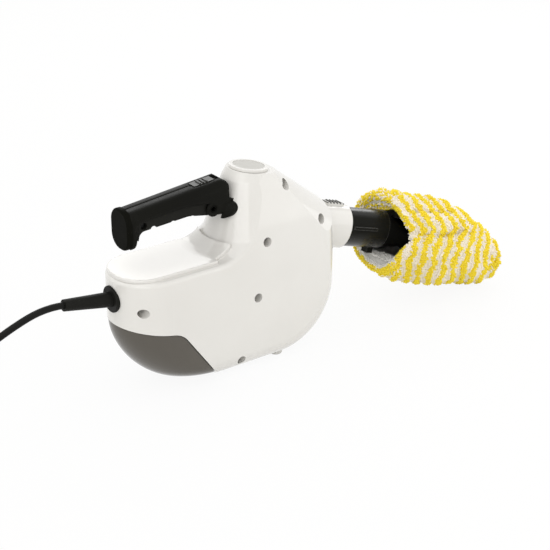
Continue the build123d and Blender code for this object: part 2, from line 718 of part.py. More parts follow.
def boiler_bolts():
    bolts = []
    y1 = BOILER_Y1 + GASKET_T + FLANGE_T
    y0 = BOILER_Y1 - FLANGE_T
    for x, z in bolt_points():
        shank = bar(BOLT_R, (x, y0 - BOLT_HEAD_H, z), (0, 1, 0), y1 - y0 + BOLT_HEAD_H)
        head = bar(BOLT_HEAD_R, (x, y1, z), (0, 1, 0), BOLT_HEAD_H)
        nut = bar(BOLT_HEAD_R, (x, y0 - BOLT_HEAD_H, z), (0, 1, 0), BOLT_HEAD_H)
        bolts.append(shank + head + nut)
    return Compound(bolts)


def heating_element():
    """Sheathed heater bent round the drum's underside, with a terminal pin at each end."""
    r = BOILER_R + SNUG + HEATER_R
    first = 270 - HEATER_SWEEP / 2
    a = math.radians(first)
    b = math.radians(first + HEATER_SWEEP)
    axis = Axis((BOILER_X, HEATER_Y, BOILER_Z), (0, -1, 0))
    out = Vector(math.cos(a), 0, math.sin(a))
    place = Plane(
        (BOILER_X, HEATER_Y, BOILER_Z) + out * r, x_dir=out, z_dir=(-math.sin(a), 0, math.cos(a)))
    element = revolve(place * Circle(HEATER_R), axis, HEATER_SWEEP)
    for angle in (a, b):
        end = Vector(BOILER_X + r * math.cos(angle), HEATER_Y, BOILER_Z + r * math.sin(angle))
        sign = -1 if angle == a else 1
        along = Vector(-math.sin(angle), 0, math.cos(angle)) * sign
        element += bar(HEATER_R / 2.5, end - along, along, 9)
    return element


def thermostat():
    body = bar(THERMOSTAT_R, (BOILER_X, BOILER_Y0 - THERMOSTAT_H, BOILER_Z + 8), (0, 1, 0), THERMOSTAT_H)
    for dx in (-4, 4):
        body += block(
            BOILER_X + dx - 1.5, BOILER_X + dx + 1.5, BOILER_Y0 - 4, BOILER_Y0 - 3.2, BOILER_Z + 15,
            BOILER_Z + 24)
    return body


def thermal_fuse():
    z = BOILER_Z - 14
    return block(
        BOILER_X - FUSE_L / 2, BOILER_X + FUSE_L / 2, BOILER_Y0 - FUSE_H, BOILER_Y0, z - FUSE_H / 2,
        z + FUSE_H / 2)


# Steam valve, pipe and nozzle socket

def valve_mouth():
    """Distance behind the rim at which the valve's spigot ends, along the nozzle's axis."""
    return -(COLLAR_X - VALVE_BOSS_X - VALVE_W / 2) / math.cos(TILT) + SPIGOT_REACH


def steam_valve():
    w = VALVE_W / 2
    body = block(VALVE_BOSS_X - w, VALVE_BOSS_X + w, -w, w, BOSS_TOP_Z, BOSS_TOP_Z + VALVE_H)
    spigot = extrude(NOZZLE.offset(valve_mouth() - 14) * Circle(SPIGOT_R), 14)
    return body + spigot


def valve_coil():
    z = BOSS_TOP_Z + VALVE_H
    coil = bar(COIL_R, (VALVE_BOSS_X, 0, z), (0, 0, 1), COIL_H)
    return coil + bar(COIL_R / 3, (VALVE_BOSS_X, 0, z + COIL_H), (0, 0, 1), 2.5)


def socket_end():
    return -SOCKET_DEPTH - SOCKET_L - SOCKET_STUB_L


def steam_pipe():
    return extrude(
        NOZZLE.offset(valve_mouth()) * (Circle(STEAM_PIPE_R) - Circle(SPIGOT_R - 1)),
        socket_end() - valve_mouth())


def nozzle_socket():
    """Oval plate in the collar with a round sleeve, an O-ring groove and a steam inlet."""
    depth = -SOCKET_DEPTH
    inset = COLLAR_WALL + SNUG
    plate = extrude(
        NOZZLE.offset(depth - SOCKET_PLATE_T) * Ellipse(COLLAR_B - inset, COLLAR_A - inset), SOCKET_PLATE_T)
    sleeve = extrude(NOZZLE.offset(depth - SOCKET_L) * Circle(SOCKET_BORE_R + SOCKET_WALL), SOCKET_L)
    stub = extrude(NOZZLE.offset(socket_end()) * Circle(SOCKET_STUB_R), SOCKET_STUB_L)
    bore = extrude(NOZZLE.offset(depth - SOCKET_L + SOCKET_WALL) * Circle(SOCKET_BORE_R), SOCKET_L)
    groove_z = depth - O_RING_SET - O_RING_T
    groove = extrude(
        NOZZLE.offset(groove_z - SNUG) * Circle(SOCKET_BORE_R + O_RING_T), O_RING_T + 2 * SNUG)
    inlet = extrude(
        NOZZLE.offset(socket_end() - 1) * Circle(SPIGOT_R - 1), SOCKET_STUB_L + SOCKET_WALL + 2)
    room = 2 * (BUTTON_DEEP + BUTTON_TRAVEL + FIT)
    notch = NOZZLE * Pos(0, COLLAR_A, -BUTTON_SET - BUTTON_L / 2) * Box(
        BUTTON_W + 2 * FIT, room, BUTTON_L + 2 * FIT)
    return plate + sleeve + stub - bore - groove - inlet - notch


def socket_seal():
    z = -SOCKET_DEPTH - O_RING_SET - O_RING_T
    return extrude(
        NOZZLE.offset(z) * (Circle(SOCKET_BORE_R + O_RING_T - SNUG) - Circle(SOCKET_BORE_R - SNUG / 2)),
        O_RING_T)


def release_button():
    """Ribbed press button on top of the collar."""
    mid = -BUTTON_SET - BUTTON_L / 2
    y0 = COLLAR_A - BUTTON_DEEP
    height = BUTTON_DEEP + BUTTON_PROUD
    button = NOZZLE * Pos(0, y0 + height / 2, mid) * Box(BUTTON_W, height, BUTTON_L)
    step = BUTTON_L / (RIB_N + 1)
    for i in range(RIB_N):
        z = mid - BUTTON_L / 2 + step * (i + 1)
        button += NOZZLE * Pos(0, y0 + height, z) * Box(BUTTON_W - 2, 2 * RIB_H, RIB_W)
    return button


def button_spring():
    """Short coil between the button and the socket's sleeve, as a plain sleeve."""
    mid = -BUTTON_SET - BUTTON_L / 2
    low = SOCKET_BORE_R + SOCKET_WALL + SNUG
    high = COLLAR_A - BUTTON_DEEP - SNUG
    place = Plane(NOZZLE.from_local_coords(Vector(0, low, mid)), z_dir=NOZZLE.y_dir)
    return extrude(place * (Circle(BUTTON_SPRING_R) - Circle(BUTTON_SPRING_R - SPRING_WIRE)), high - low)


# Hand nozzle and bonnet

def hand_nozzle():
    """Oval tube with a round spigot, side ribs and an underside hook."""
    tube = extrude(NOZZLE.offset(-TUBE_IN) * Ellipse(TUBE_B, TUBE_A), TUBE_IN + TUBE_L)
    tube += extrude(NOZZLE.offset(-SPIGOT_IN) * Circle(SOCKET_BORE_R - 2 * SNUG), SPIGOT_IN)
    for side in (RIGHT, LEFT):
        tube += NOZZLE * Pos(
            side * (TUBE_B - 2), TUBE_RIB_H, 5 + TUBE_RIB_L / 2) * Box(4 + 2 * TUBE_RIB_PROUD, TUBE_RIB_H,
            TUBE_RIB_L)
    tube += NOZZLE * Pos(
        0, -TUBE_A - HOOK_DROP / 2 + 1, HOOK_S + HOOK_L / 2) * Box(HOOK_W, HOOK_DROP + 2, HOOK_L)
    tube -= extrude(
        NOZZLE.offset(-TUBE_IN + TUBE_WALL) * Ellipse(TUBE_B - TUBE_WALL, TUBE_A - TUBE_WALL),
        TUBE_IN + TUBE_L)
    return tube - extrude(NOZZLE.offset(-SPIGOT_IN - 1) * Circle(SPIGOT_BORE_R), SPIGOT_IN + 2)


def bag(t, first, last):
    """The bonnet's full form, inset by t, from its first to its last station."""
    sections = []
    for i, (s, drop, b, a) in enumerate(BAG):
        s += first if i == 0 else last if i == len(BAG) - 1 else 0
        sections.append(NOZZLE.offset(s) * Pos(0, drop) * Ellipse(b - t, a - t))
    return loft(sections)


def bonnet():
    return bag(0, 0, 0) - bag(BAG_T, -1, -BAG_T)


def head_slab(thickness, t):
    """Flat slice along the middle of the bonnet's form, inset by t."""
    mid = (HEAD_START + HEAD_END) / 2
    fall = (BAG[-2][1] - BAG[1][1]) / (BAG[-2][0] - BAG[1][0])
    place = NOZZLE * Pos(
        0, BAG[1][1] + fall * (mid - BAG[1][0]), mid) * Rot(-math.degrees(math.atan(fall)), 0, 0)
    slab = place * Box(REACH, thickness, HEAD_END - HEAD_START - 2 * t)
    return slab & bag(BAG_T + HEAD_GAP + t, 0, -BAG_T), place


def nozzle_head():
    """Flat hollow working head inside the bonnet, on a neck that grows from the tube, with steam holes."""
    plate, place = head_slab(HEAD_T, 0)
    hollow, place = head_slab(HEAD_T - 2 * HEAD_WALL, HEAD_WALL)
    end = Pos(0, BAG[1][1])
    neck = loft(
        [NOZZLE.offset(TUBE_L) * Ellipse(TUBE_B, TUBE_A),
            NOZZLE.offset(NECK_OUT) * end * Ellipse(2 * TUBE_B, HEAD_T / 2 - 1)])
    duct = loft([
        NOZZLE.offset(TUBE_L - 1) * Ellipse(TUBE_B - HEAD_WALL, TUBE_A - HEAD_WALL),
        NOZZLE.offset(NECK_OUT + 1) * end * Ellipse(2 * TUBE_B - HEAD_WALL, HEAD_T / 2 - 1 - HEAD_WALL)])
    head = plate + neck - duct - hollow
    for i in range(STEAM_HOLE_N):
        x = (i - (STEAM_HOLE_N - 1) / 2) * STEAM_HOLE_STEP
        head -= place * Pos(x, -HEAD_T / 2, 0) * Rot(90, 0, 0) * Cylinder(STEAM_HOLE_R, 4 * HEAD_WALL)
    return head


# Handle

def grip_top(x):
    (x0, z0), (x1, z1) = GRIP_TOP_REAR, GRIP_TOP_FRONT
    return z0 + (z1 - z0) * (x - x0) / (x1 - x0)


def on_grip(x, depth):
    """Plane on the grip's top line, sunk by depth, with its own x along the grip."""
    a = math.atan2(GRIP_TOP_FRONT[1] - GRIP_TOP_REAR[1], GRIP_TOP_FRONT[0] - GRIP_TOP_REAR[0])
    return Plane(
        (x, 0, grip_top(x)), x_dir=(math.cos(a), 0, math.sin(a)),
        z_dir=(-math.sin(a), 0, math.cos(a))).offset(-depth)


def grip_outline():
    rear = GRIP_TOP_REAR[0]
    seam_mid = (PIVOT_X + HOOK_X) / 2 + 10
    low = GRIP_SEAM_Z - GRIP_SEAM_DROP
    front = GRIP_TOP_FRONT[0]
    points = [
        GRIP_TOP_REAR, GRIP_TOP_FRONT, (front, low), (PIVOT_X + LUG_R, low), (seam_mid, GRIP_SEAM_Z),
        (HOOK_X, low), (HOOK_X - HOOK_LEAN, HOOK_BOTTOM_Z), (rear, HOOK_BOTTOM_Z)]
    return FilletPolyline(*points, radius=[0.4, GRIP_NOSE_R, 1, 1, 140, 9, 1.5, 0.4], close=True)


def root_flange():
    """Foot of the handle that hugs the column."""
    slot = extrude(
        across(-REACH / 4) * Pos(0, ROOT_Z) * SlotOverall(2 * ROOT_HALF_W, ROOT_H), REACH / 4 + AXIS_X - 12)
    return slot & column_region(-ROOT_T)


def root_neck():
    """Neck from the pivot to the column, as wide as the grip, with softened lower edges."""
    low, high = ROOT_Z - ROOT_H / 2, ROOT_Z + ROOT_H / 2
    outline = Polyline(
        (PIVOT_X, PIVOT_Z - LUG_R), (AXIS_X, low), (AXIS_X, high), (PIVOT_X, PIVOT_Z + LUG_R), close=True)
    neck = side_prism(outline.edges(), GRIP_HALF_W)
    under = neck.faces().sort_by(Axis.Z)[0]
    return fillet([e for e in under.edges() if abs(e.center().Y) > GRIP_HALF_W / 2], ROOT_EDGE_R)


def handle():
    """Both grip halves as one form: rounded beam with hook, open channel below, lugs and root."""
    beam = side_prism(grip_outline().edges(), GRIP_HALF_W)
    along = on_grip(GRIP_TOP_REAR[0], 0)
    section = Plane(along.origin - along.x_dir * 10, x_dir=(0, 1, 0), z_dir=along.x_dir)
    hook_h = grip_top(HOOK_X) - HOOK_BOTTOM_Z
    beam &= extrude(
        section * Pos(0, -hook_h / 2) * RectangleRounded(2 * GRIP_HALF_W, hook_h, GRIP_TOP_R), REACH)
    inner = GRIP_HALF_W - GRIP_WALL
    roof0 = (CHANNEL_X0, grip_top(CHANNEL_X0) - GRIP_ROOF)
    roof1 = (CHANNEL_X1, grip_top(CHANNEL_X1) - GRIP_ROOF)
    beam += bar(LUG_R, (PIVOT_X, -GRIP_HALF_W, PIVOT_Z), (0, 1, 0), 2 * GRIP_HALF_W)
    beam += root_neck() + root_flange()
    channel = Polyline(
        roof0, roof1, (CHANNEL_X1, HOOK_BOTTOM_Z - 20), (CHANNEL_X0, HOOK_BOTTOM_Z - 20), close=True)
    beam -= side_prism(channel.edges(), inner)
    beam -= bar(PIVOT_R + SNUG, (PIVOT_X, -REACH, PIVOT_Z), (0, 1, 0), 2 * REACH)
    beam -= on_grip(LOCK_X, 0) * Pos(0, 0, -LOCK_DEEP / 2 + 5) * Box(
        LOCK_POCKET, LOCK_W + 2 * FIT, LOCK_DEEP + 10)
    neck, head = handle_plug(0)
    root = (beam - column_region(-FIT)) + neck + head
    return root - bar(WIRE_R + FIT, (CHANNEL_X1 - 10, 0, DUCT_Z), (1, 0, 0), REACH)


def handle_end_cap():
    x = GRIP_TOP_REAR[0]
    oval = Plane(
        (x, 0, END_CAP_Z), x_dir=(0, -1, 0), z_dir=(-1, 0, 0)) * RectangleRounded(END_CAP_W, END_CAP_H,
        END_CAP_CORNER)
    cap = extrude(oval, END_CAP_T)
    return fillet(cap.faces().sort_by(Axis.X)[0].edges(), END_CAP_EDGE_R)


def trigger():
    """Long squeeze lever under the grip, hung on its front pivot, with finger grooves."""
    w = GRIP_HALF_W - GRIP_WALL - FIT
    ring = LUG_R - 0.6
    points = [
        (TRIGGER_REAR_X, TRIGGER_TOP_Z), (PIVOT_X - 30, TRIGGER_TOP_Z + 3), (PIVOT_X, PIVOT_Z + ring),
        (PIVOT_X, PIVOT_Z - ring), (PIVOT_X - 28, TRIGGER_LIP_Z + 3.5),
        (TRIGGER_REAR_X + TRIGGER_TOE, TRIGGER_LIP_Z),
        (TRIGGER_REAR_X + TRIGGER_TOE / 2, TRIGGER_LIP_Z - TRIGGER_TOE_L),
        (TRIGGER_REAR_X + 0.6, TRIGGER_LIP_Z - TRIGGER_TOE_L)]
    lever = side_prism(FilletPolyline(*points, radius=[1, 20, 1, 1, 20, TRIGGER_TOE_R, 0.4, 0.4],
            close=True).edges(), w)
    lever += bar(ring, (PIVOT_X, -w, PIVOT_Z), (0, 1, 0), 2 * w)
    lever -= bar(PIVOT_R + SNUG, (PIVOT_X, -REACH, PIVOT_Z), (0, 1, 0), 2 * REACH)
    for i in range(GROOVE_N):
        x = GROOVE_X - GROOVE_STEP * i
        lever -= bar(GROOVE_R, (x, -w - 1, TRIGGER_LIP_Z - 0.4), (0, 1, 0), 2 * w + 2)
    pocket = block(
        SWITCH_X - SWITCH_L, SWITCH_X + SWITCH_L, -SWITCH_W, SWITCH_W, press_z(), GRIP_SEAM_Z + 9)
    lever -= pocket
    lever -= bar(SPRING_R + FIT, (SPRING_X, 0, SPRING_SEAT_Z), (0, 0, 1), REACH)
    lever -= bar(
        TRIGGER_SCREW_R + FIT, (TRIGGER_SCREW_X, -w - 1, PIVOT_Z), (0, 1, 0), TRIGGER_SCREW_DEEP + 1)
    return lever - bar(
        SCREW_SHANK_R + SNUG, (TRIGGER_SCREW_X, -w, PIVOT_Z), (0, 1, 0), TRIGGER_SCREW_DEEP + 12)


def press_z():
    """Floor of the lever's pocket, which meets the switch's plunger at full squeeze."""
    reach = PIVOT_X - SWITCH_X + SWITCH_L / 2
    plunger = grip_top(SWITCH_X - SWITCH_L / 4) - GRIP_ROOF - SWITCH_H - 1
    return plunger - reach * math.tan(math.radians(TRIGGER_SWING)) - FIT


def trigger_screw():
    y = -(GRIP_HALF_W - GRIP_WALL - FIT) + TRIGGER_SCREW_DEEP
    head = bar(TRIGGER_SCREW_R, (TRIGGER_SCREW_X, y - 2, PIVOT_Z), (0, 1, 0), 2)
    return head + bar(SCREW_SHANK_R, (TRIGGER_SCREW_X, y, PIVOT_Z), (0, 1, 0), 11)


def trigger_pin():
    pin = bar(PIVOT_R, (PIVOT_X, -GRIP_HALF_W + 0.5, PIVOT_Z), (0, 1, 0), 2 * GRIP_HALF_W - 1)
    return pin - bar(PIVOT_RECESS_R, (PIVOT_X, -GRIP_HALF_W, PIVOT_Z), (0, 1, 0), 9)


def trigger_spring():
    """Return spring between the lever and the grip's roof, as a plain sleeve."""
    roof = grip_top(SPRING_X - SPRING_R) - GRIP_ROOF - SNUG
    low = SPRING_SEAT_Z + SNUG
    ring = Circle(SPRING_R) - Circle(SPRING_R - SPRING_WIRE)
    return extrude(Plane((SPRING_X, 0, low)) * ring, roof - low)


def micro_switch():
    place = on_grip(SWITCH_X, GRIP_ROOF + SNUG)
    body = place * Pos(0, 0, -SWITCH_H / 2) * Box(SWITCH_L, SWITCH_W, SWITCH_H)
    return body + place * Pos(-SWITCH_L / 4, 0, -SWITCH_H - 0.5) * Box(3, SWITCH_W / 2, 1)


def child_lock():
    """Ribbed thumb slide in the pocket on top of the grip."""
    place = on_grip(LOCK_X, LOCK_DEEP - SNUG)
    shift = -(LOCK_POCKET - LOCK_L) / 2 + FIT
    h = LOCK_DEEP - SNUG + LOCK_PROUD
    slide = place * Pos(shift, 0, h / 2) * Box(LOCK_L, LOCK_W, h)
    for i in range(3):
        slide += place * Pos(shift + 4.0 * (i - 1), 0, h) * Box(RIB_W, LOCK_W - 2, 2 * RIB_H)
    return slide


# Mains lead

def boot_axis():
    a = math.radians(BOOT_RISE)
    return Vector(-math.cos(a), 0, math.sin(a))


def boot_start():
    return Vector(TAIL_END_X - BOOT_FLANGE_T, 0, BOOT_Z)


def cord_boot(outer):
    """Strain relief: flange on the tail, neck through its wall,
    retaining disc inside and tapered sleeve."""
    start = boot_start()
    flange = bar(BOOT_FLANGE_R, start, (1, 0, 0), BOOT_FLANGE_R) - Pos(-FIT, 0, 0) * outer
    flange = fillet(flange.solids().sort_by(Axis.X)[0].edges().sort_by(Axis.X)[0], BOOT_FLANGE_T / 2)
    neck = bar(BOOT_NECK_R, start, (1, 0, 0), BOOT_FLANGE_T + 9)
    disc = bar(BOOT_NECK_R + 3, (TAIL_END_X + WALL + 2.2, 0, BOOT_Z), (1, 0, 0), 3.5)
    axis = boot_axis()
    base = start - axis * 2
    sleeve = loft(
        [Plane(base, z_dir=axis) * Circle(BOOT_R0),
            Plane(base + axis * BOOT_L, z_dir=axis) * Circle(BOOT_R1)])
    boot = flange + neck + disc + sleeve
    return boot - bar(CORD_D / 2 + SNUG, (TAIL_END_X - 2, 0, BOOT_Z), (1, 0, 0), 40)


def boot_end():
    return boot_start() + boot_axis() * (BOOT_L - 2)


def cord_points():
    start = boot_end()
    entry = coil_points()[0] + Vector(CORD_D, 0, 0)
    lead = entry + Vector(4 * CORD_D, 0, 0)
    return [start, start + boot_axis() * CORD_LEAD] + [Vector(*p) for p in CORD_ROUTE] + [lead, entry]


def fair_path(points):
    """Straight runs joined by arcs as large as the runs allow."""
    radii = []
    for a, b, c in zip(points, points[1:], points[2:]):
        turn = math.radians((b - a).get_angle(c - b))
        run = min((b - a).length, (c - b).length)
        radii.append(0.45 * run / math.tan(turn / 2))
    return FilletPolyline(*points, radius=radii), radii


def tube_along(points, label):
    path, radii = fair_path(points)
    tube = sweep(Plane(points[0], z_dir=path % 0) * Circle(CORD_D / 2), path)
    ratio = tube.volume / (path.length * math.pi * CORD_D ** 2 / 4)
    print(
        label, "length", round(path.length), "volume ratio", round(ratio, 4), "radii",
        [round(r) for r in radii])
    return tube


def coil_points():
    """Half-turn ends of the piled coil: spirals in and out, and climbs a layer where it reverses."""
    z = CORD_D / 2 + TIE_T + 2 * SNUG
    r = COIL_OUTER_R
    side = RIGHT
    step = -COIL_PITCH / 2
    points = [Vector(COIL_X, COIL_Y + side * r, z)]
    for layer in range(COIL_LAYERS):
        halves = 2 * COIL_TURNS + (layer == 0)
        for i in range(halves):
            side = -side
            r += step * (2 if layer and i == 0 else 1)
            if i == halves - 1 and layer < COIL_LAYERS - 1:
                z += COIL_LAYER
            points.append(Vector(COIL_X, COIL_Y + side * r, z))
        step = -step
    return points


def coil_arcs():
    points = coil_points()
    arcs = []
    for i, (a, b) in enumerate(zip(points, points[1:])):
        middle = (a + b) / 2
        out = Vector(-1 if i % 2 == 0 else 1, 0, 0)
        arcs.append(ThreePointArc(a, middle + out * ((b - a).length / 2), b))
    return arcs


def cord_coil():
    """The unshown length of the lead, wound in one unbroken tube."""
    arcs = coil_arcs()
    first, last = coil_points()[0], coil_points()[-1]
    path = Wire(
        [Line(first + Vector(CORD_D, 0, 0), first), *arcs, Line(last, last + Vector(CORD_D, 0, 0))])
    section = Plane(path @ 0, x_dir=(0, 0, 1), z_dir=path % 0) * RegularPolygon(CORD_D / 2, CORD_SIDES)
    samples = [arc @ (i / 24) for arc in arcs for i in range(24)]
    near = min((p - q).length for i, p in enumerate(samples) for q in samples[i + 20:])
    print("coil length", round(path.length), "least gap", round(near - CORD_D, 2))
    return sweep(section, path)


def cord_end_points():
    start = coil_points()[-1] + Vector(CORD_D, 0, 0)
    run = Vector(4 * CORD_D, 0, 0)
    low = Vector(start.X, start.Y, PLUG_R)
    return [start, start + run * 0.9, low + run * 2.2, low + run * 3.1]


def cord_tie():
    """Band round the coil's bundle."""
    last = max(p.Z for p in coil_points()) + CORD_D / 2
    r1 = COIL_OUTER_R + CORD_D / 2
    r0 = COIL_OUTER_R - COIL_PITCH * (COIL_TURNS + 0.5) - CORD_D / 2
    x0 = COIL_X - r1 - FIT
    x1 = COIL_X - r0 + COIL_PITCH / 2
    outer = block(x0 - TIE_T, x1 + TIE_T, COIL_Y - TIE_W / 2, COIL_Y + TIE_W / 2, 0, last + TIE_T + FIT)
    return outer - block(x0, x1, COIL_Y - TIE_W, COIL_Y + TIE_W, TIE_T, last + FIT)


def plug_start():
    return cord_end_points()[-1]


def plug_body():
    start = plug_start()
    neck = bar(PLUG_NECK_R, start, (1, 0, 0), PLUG_NECK_L + 1)
    body = bar(PLUG_R, start + Vector(PLUG_NECK_L, 0, 0), (1, 0, 0), PLUG_L)
    body = fillet(body.edges(), 3) + neck
    for side in (RIGHT, LEFT):
        x = start.X + PLUG_NECK_L + PLUG_L
        body -= bar(
            PIN_R + SNUG, (x - PLUG_L / 2, start.Y + side * PIN_GAP / 2, start.Z), (1, 0, 0), PLUG_L)
    return body


def plug_pins():
    start = plug_start()
    x = start.X + PLUG_NECK_L + PLUG_L / 2
    pins = [
        bar(PIN_R, (x, start.Y + side * PIN_GAP / 2, start.Z), (1, 0, 0), PLUG_L / 2 + PIN_L)
        for side in (RIGHT, LEFT)]
    return Compound(pins)


# Electrics inside the tail

def inner_cord():
    return bar(CORD_D / 2, (TAIL_END_X - 2, 0, BOOT_Z), (1, 0, 0), CLAMP_X + CLAMP_L - TAIL_END_X)


def cord_clamp():
    """Saddle over the cord, screwed down on the housings' shelf."""
    z0 = clamp_top() - CLAMP_H
    saddle = block(
        CLAMP_X - CLAMP_L / 2, CLAMP_X + CLAMP_L / 2, -CLAMP_W / 2, CLAMP_W / 2, z0, z0 + CLAMP_H)
    r = CORD_D / 2 + SNUG
    saddle -= bar(r, (CLAMP_X - CLAMP_L, 0, BOOT_Z), (1, 0, 0), 2 * CLAMP_L)
    saddle -= block(CLAMP_X - CLAMP_L, CLAMP_X + CLAMP_L, -r, r, z0 - 1, BOOT_Z)
    return saddle - clamp_holes()


def clamp_screws():
    screws = []
    for side in (RIGHT, LEFT):
        y = side * CLAMP_W / 3
        shank = bar(
            SCREW_SHANK_R, (CLAMP_X, y, clamp_top() - CLAMP_H - SHELF_T), (0, 0, 1), CLAMP_H + SHELF_T)
        screws.append(shank + bar(SCREW_HEAD_R, (CLAMP_X, y, clamp_top()), (0, 0, 1), SCREW_HEAD_H))
    return Compound(screws)


def terminal_block():
    l, w = TERMINAL_L / 2, TERMINAL_W / 2
    body = block(TERMINAL_X - l, TERMINAL_X + l, -w, w, TERMINAL_Z, TERMINAL_Z + TERMINAL_H)
    for i in (-1, 0, 1):
        for dx in (-l / 2, l / 2):
            body -= bar(
                SCREW_SHANK_R, (TERMINAL_X + dx, i * w * 0.6, TERMINAL_Z + TERMINAL_H - 3), (0, 0, 1), 9)
    return body


def wire(*points):
    path = FilletPolyline(*points, radius=2.5 * WIRE_R)
    return sweep(Plane(path @ 0, z_dir=path % 0) * Circle(WIRE_R), path)


def wiring():
    """Three cores of the lead, and the runs to the thermostat, the valve's coil and the switch."""
    jacket = TAIL_END_X - 2 + CLAMP_X + CLAMP_L - TAIL_END_X
    back = TERMINAL_X - TERMINAL_L / 2
    front = TERMINAL_X + TERMINAL_L / 2
    z = TERMINAL_Z + TERMINAL_H / 2
    wires = []
    for i in (-1, 0, 1):
        y0, y1 = i * 2.2 * WIRE_R, i * TERMINAL_W * 0.3
        wires.append(
            wire((jacket, y0, BOOT_Z), (jacket + 5, y0, BOOT_Z), (back - 5, y1, z), (back, y1, z)))
    y, high = BOILER_Y0 - 3.6, BOILER_Z + 28
    tab = BOILER_X - 4
    wires.append(
        wire((front, -6, z), (front + 25, -6, z), (front + 58, y, high), (tab, y, high),
            (tab, y, BOILER_Z + 24)))
    mid = BOSS_TOP_Z + VALVE_H + COIL_H / 2
    side = BOILER_Y1 - 2
    wires.append(wire(
        (front, 6, z), (front + 8, 6, z), (front + 28, side, z + 8), (VALVE_BOSS_X, side, mid),
        (VALVE_BOSS_X, COIL_R, mid)))
    rise = PLUG_END_X + 4
    switch = on_grip(SWITCH_X, GRIP_ROOF + SNUG) * Pos(SWITCH_L / 2, 0, -SWITCH_H / 3)
    tail = on_grip(SWITCH_X, GRIP_ROOF + SNUG) * Pos(SWITCH_L / 2 + 20, 0, -SWITCH_H / 3)
    wires.append(wire(
        (front, 0, z), (front + 32, 0, z), (rise, 0, DUCT_Z - 26), (rise, 0, DUCT_Z),
        (CHANNEL_X1 - 3.5, 0, DUCT_Z),
        (CHANNEL_X1 - 3.5, 0, DUCT_Z + 10), tail.position, switch.position))
    return Compound(wires)


def main():
    os.makedirs("parts", exist_ok=True)
    parts, outer, bumper_form = housings()
    grip = handle()
    parts["handle_right"] = grip & half(RIGHT)
    parts["handle_left"] = grip & half(LEFT)
    parts["feet"] = feet(outer, bumper_form)
    parts["cord_boot"] = cord_boot(outer)
    parts["power_cord"] = tube_along(cord_points(), "power cord")
    parts["cord_end"] = tube_along(cord_end_points(), "cord end")
    for maker in (
            housing_screws, rear_deck, filler_cap, cap_inlay, relief_valve, cap_seal, filler_neck,
            boiler_cup, boiler_gasket,
            boiler_lid, boiler_bolts, heating_element, thermostat, thermal_fuse, steam_valve, valve_coil,
            steam_pipe,
            nozzle_socket, socket_seal, release_button, button_spring, hand_nozzle, nozzle_head, bonnet,
            handle_end_cap,
            trigger, trigger_pin, trigger_screw, trigger_spring, micro_switch, child_lock, cord_coil,
            cord_tie, plug_body,
            plug_pins, inner_cord, cord_clamp, clamp_screws, terminal_block, wiring):
        parts[maker.__name__] = maker()
    for name, shape in parts.items():
        box = shape.bounding_box()
        print(
            name, len(shape.solids()), shape.is_valid, round(shape.volume),
            [round(v, 1) for v in (*box.min, *box.max)])
        export_step(Pos(-MIDDLE_X, 0, 0) * shape, f"parts/{name}.step")


if __name__ == "__main__":
    main()
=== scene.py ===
import json
import math

import bpy
import numpy as np
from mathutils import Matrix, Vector


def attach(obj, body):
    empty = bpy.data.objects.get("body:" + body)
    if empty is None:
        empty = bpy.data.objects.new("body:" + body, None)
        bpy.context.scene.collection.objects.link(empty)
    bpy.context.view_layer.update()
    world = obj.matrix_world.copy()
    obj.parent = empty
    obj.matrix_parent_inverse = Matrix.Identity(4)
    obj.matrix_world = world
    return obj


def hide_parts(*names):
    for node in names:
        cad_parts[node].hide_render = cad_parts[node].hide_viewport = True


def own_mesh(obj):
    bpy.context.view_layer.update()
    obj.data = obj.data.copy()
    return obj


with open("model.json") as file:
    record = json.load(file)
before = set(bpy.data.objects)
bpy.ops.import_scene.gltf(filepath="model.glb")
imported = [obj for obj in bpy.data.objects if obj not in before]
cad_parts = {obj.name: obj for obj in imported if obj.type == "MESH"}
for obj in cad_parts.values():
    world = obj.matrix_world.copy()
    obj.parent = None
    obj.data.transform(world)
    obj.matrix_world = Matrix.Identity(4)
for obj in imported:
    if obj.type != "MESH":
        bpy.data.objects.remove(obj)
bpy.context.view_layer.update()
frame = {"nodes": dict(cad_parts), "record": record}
nodes = frame["nodes"]
rng = np.random.default_rng(7)


# Nozzle's axis, which the release button and the bonnet follow

TILT = math.radians(17)
ALONG = np.array([math.cos(TILT), 0, -math.sin(TILT)])
UPWARD = np.array([math.sin(TILT), 0, math.cos(TILT)])
ACROSS = np.array([0, -1.0, 0])


# Shader nodes

# Colour sockets of a Mix node
MIX_FIRST, MIX_SECOND, MIX_RESULT = 6, 7, 2


def node(tree, kind, settings=None, **inputs):
    """Adds a shader node. Keyword inputs name its sockets, with _ for a space."""
    made = tree.nodes.new("ShaderNode" + kind)
    for key, value in (settings or {}).items():
        setattr(made, key, value)
    for key, value in inputs.items():
        link_or_set(tree, made.inputs[key.replace("_", " ")], value)
    return made


def link_or_set(tree, socket, value):
    if isinstance(value, bpy.types.NodeSocket):
        tree.links.new(value, socket)
    else:
        socket.default_value = value


def feed(tree, made, *values):
    """Links or sets the first sockets of a node, in their order."""
    for socket, value in zip(made.inputs, values):
        link_or_set(tree, socket, value)


def math_node(tree, operation, a, b=0.0):
    made = node(tree, "Math", {"operation": operation})
    feed(tree, made, a, b)
    return made.outputs[0]


def dot_product(tree, first, second):
    made = node(tree, "VectorMath", {"operation": "DOT_PRODUCT"})
    feed(tree, made, first, second)
    return made.outputs["Value"]


def place_of(tree):
    return node(tree, "TexCoord").outputs["Object"]


def grain(tree, scale, detail=3.0, rough=0.5):
    made = node(tree, "TexNoise", Vector=place_of(tree), Scale=scale, Detail=detail, Roughness=rough)
    return made.outputs["Fac"]


def ramp(tree, value, low, high, out_low=0.0, out_high=1.0):
    made = node(tree, "MapRange", {"clamp": True}, Value=value, From_Min=low, From_Max=high,
                To_Min=out_low, To_Max=out_high)
    return made.outputs[0]


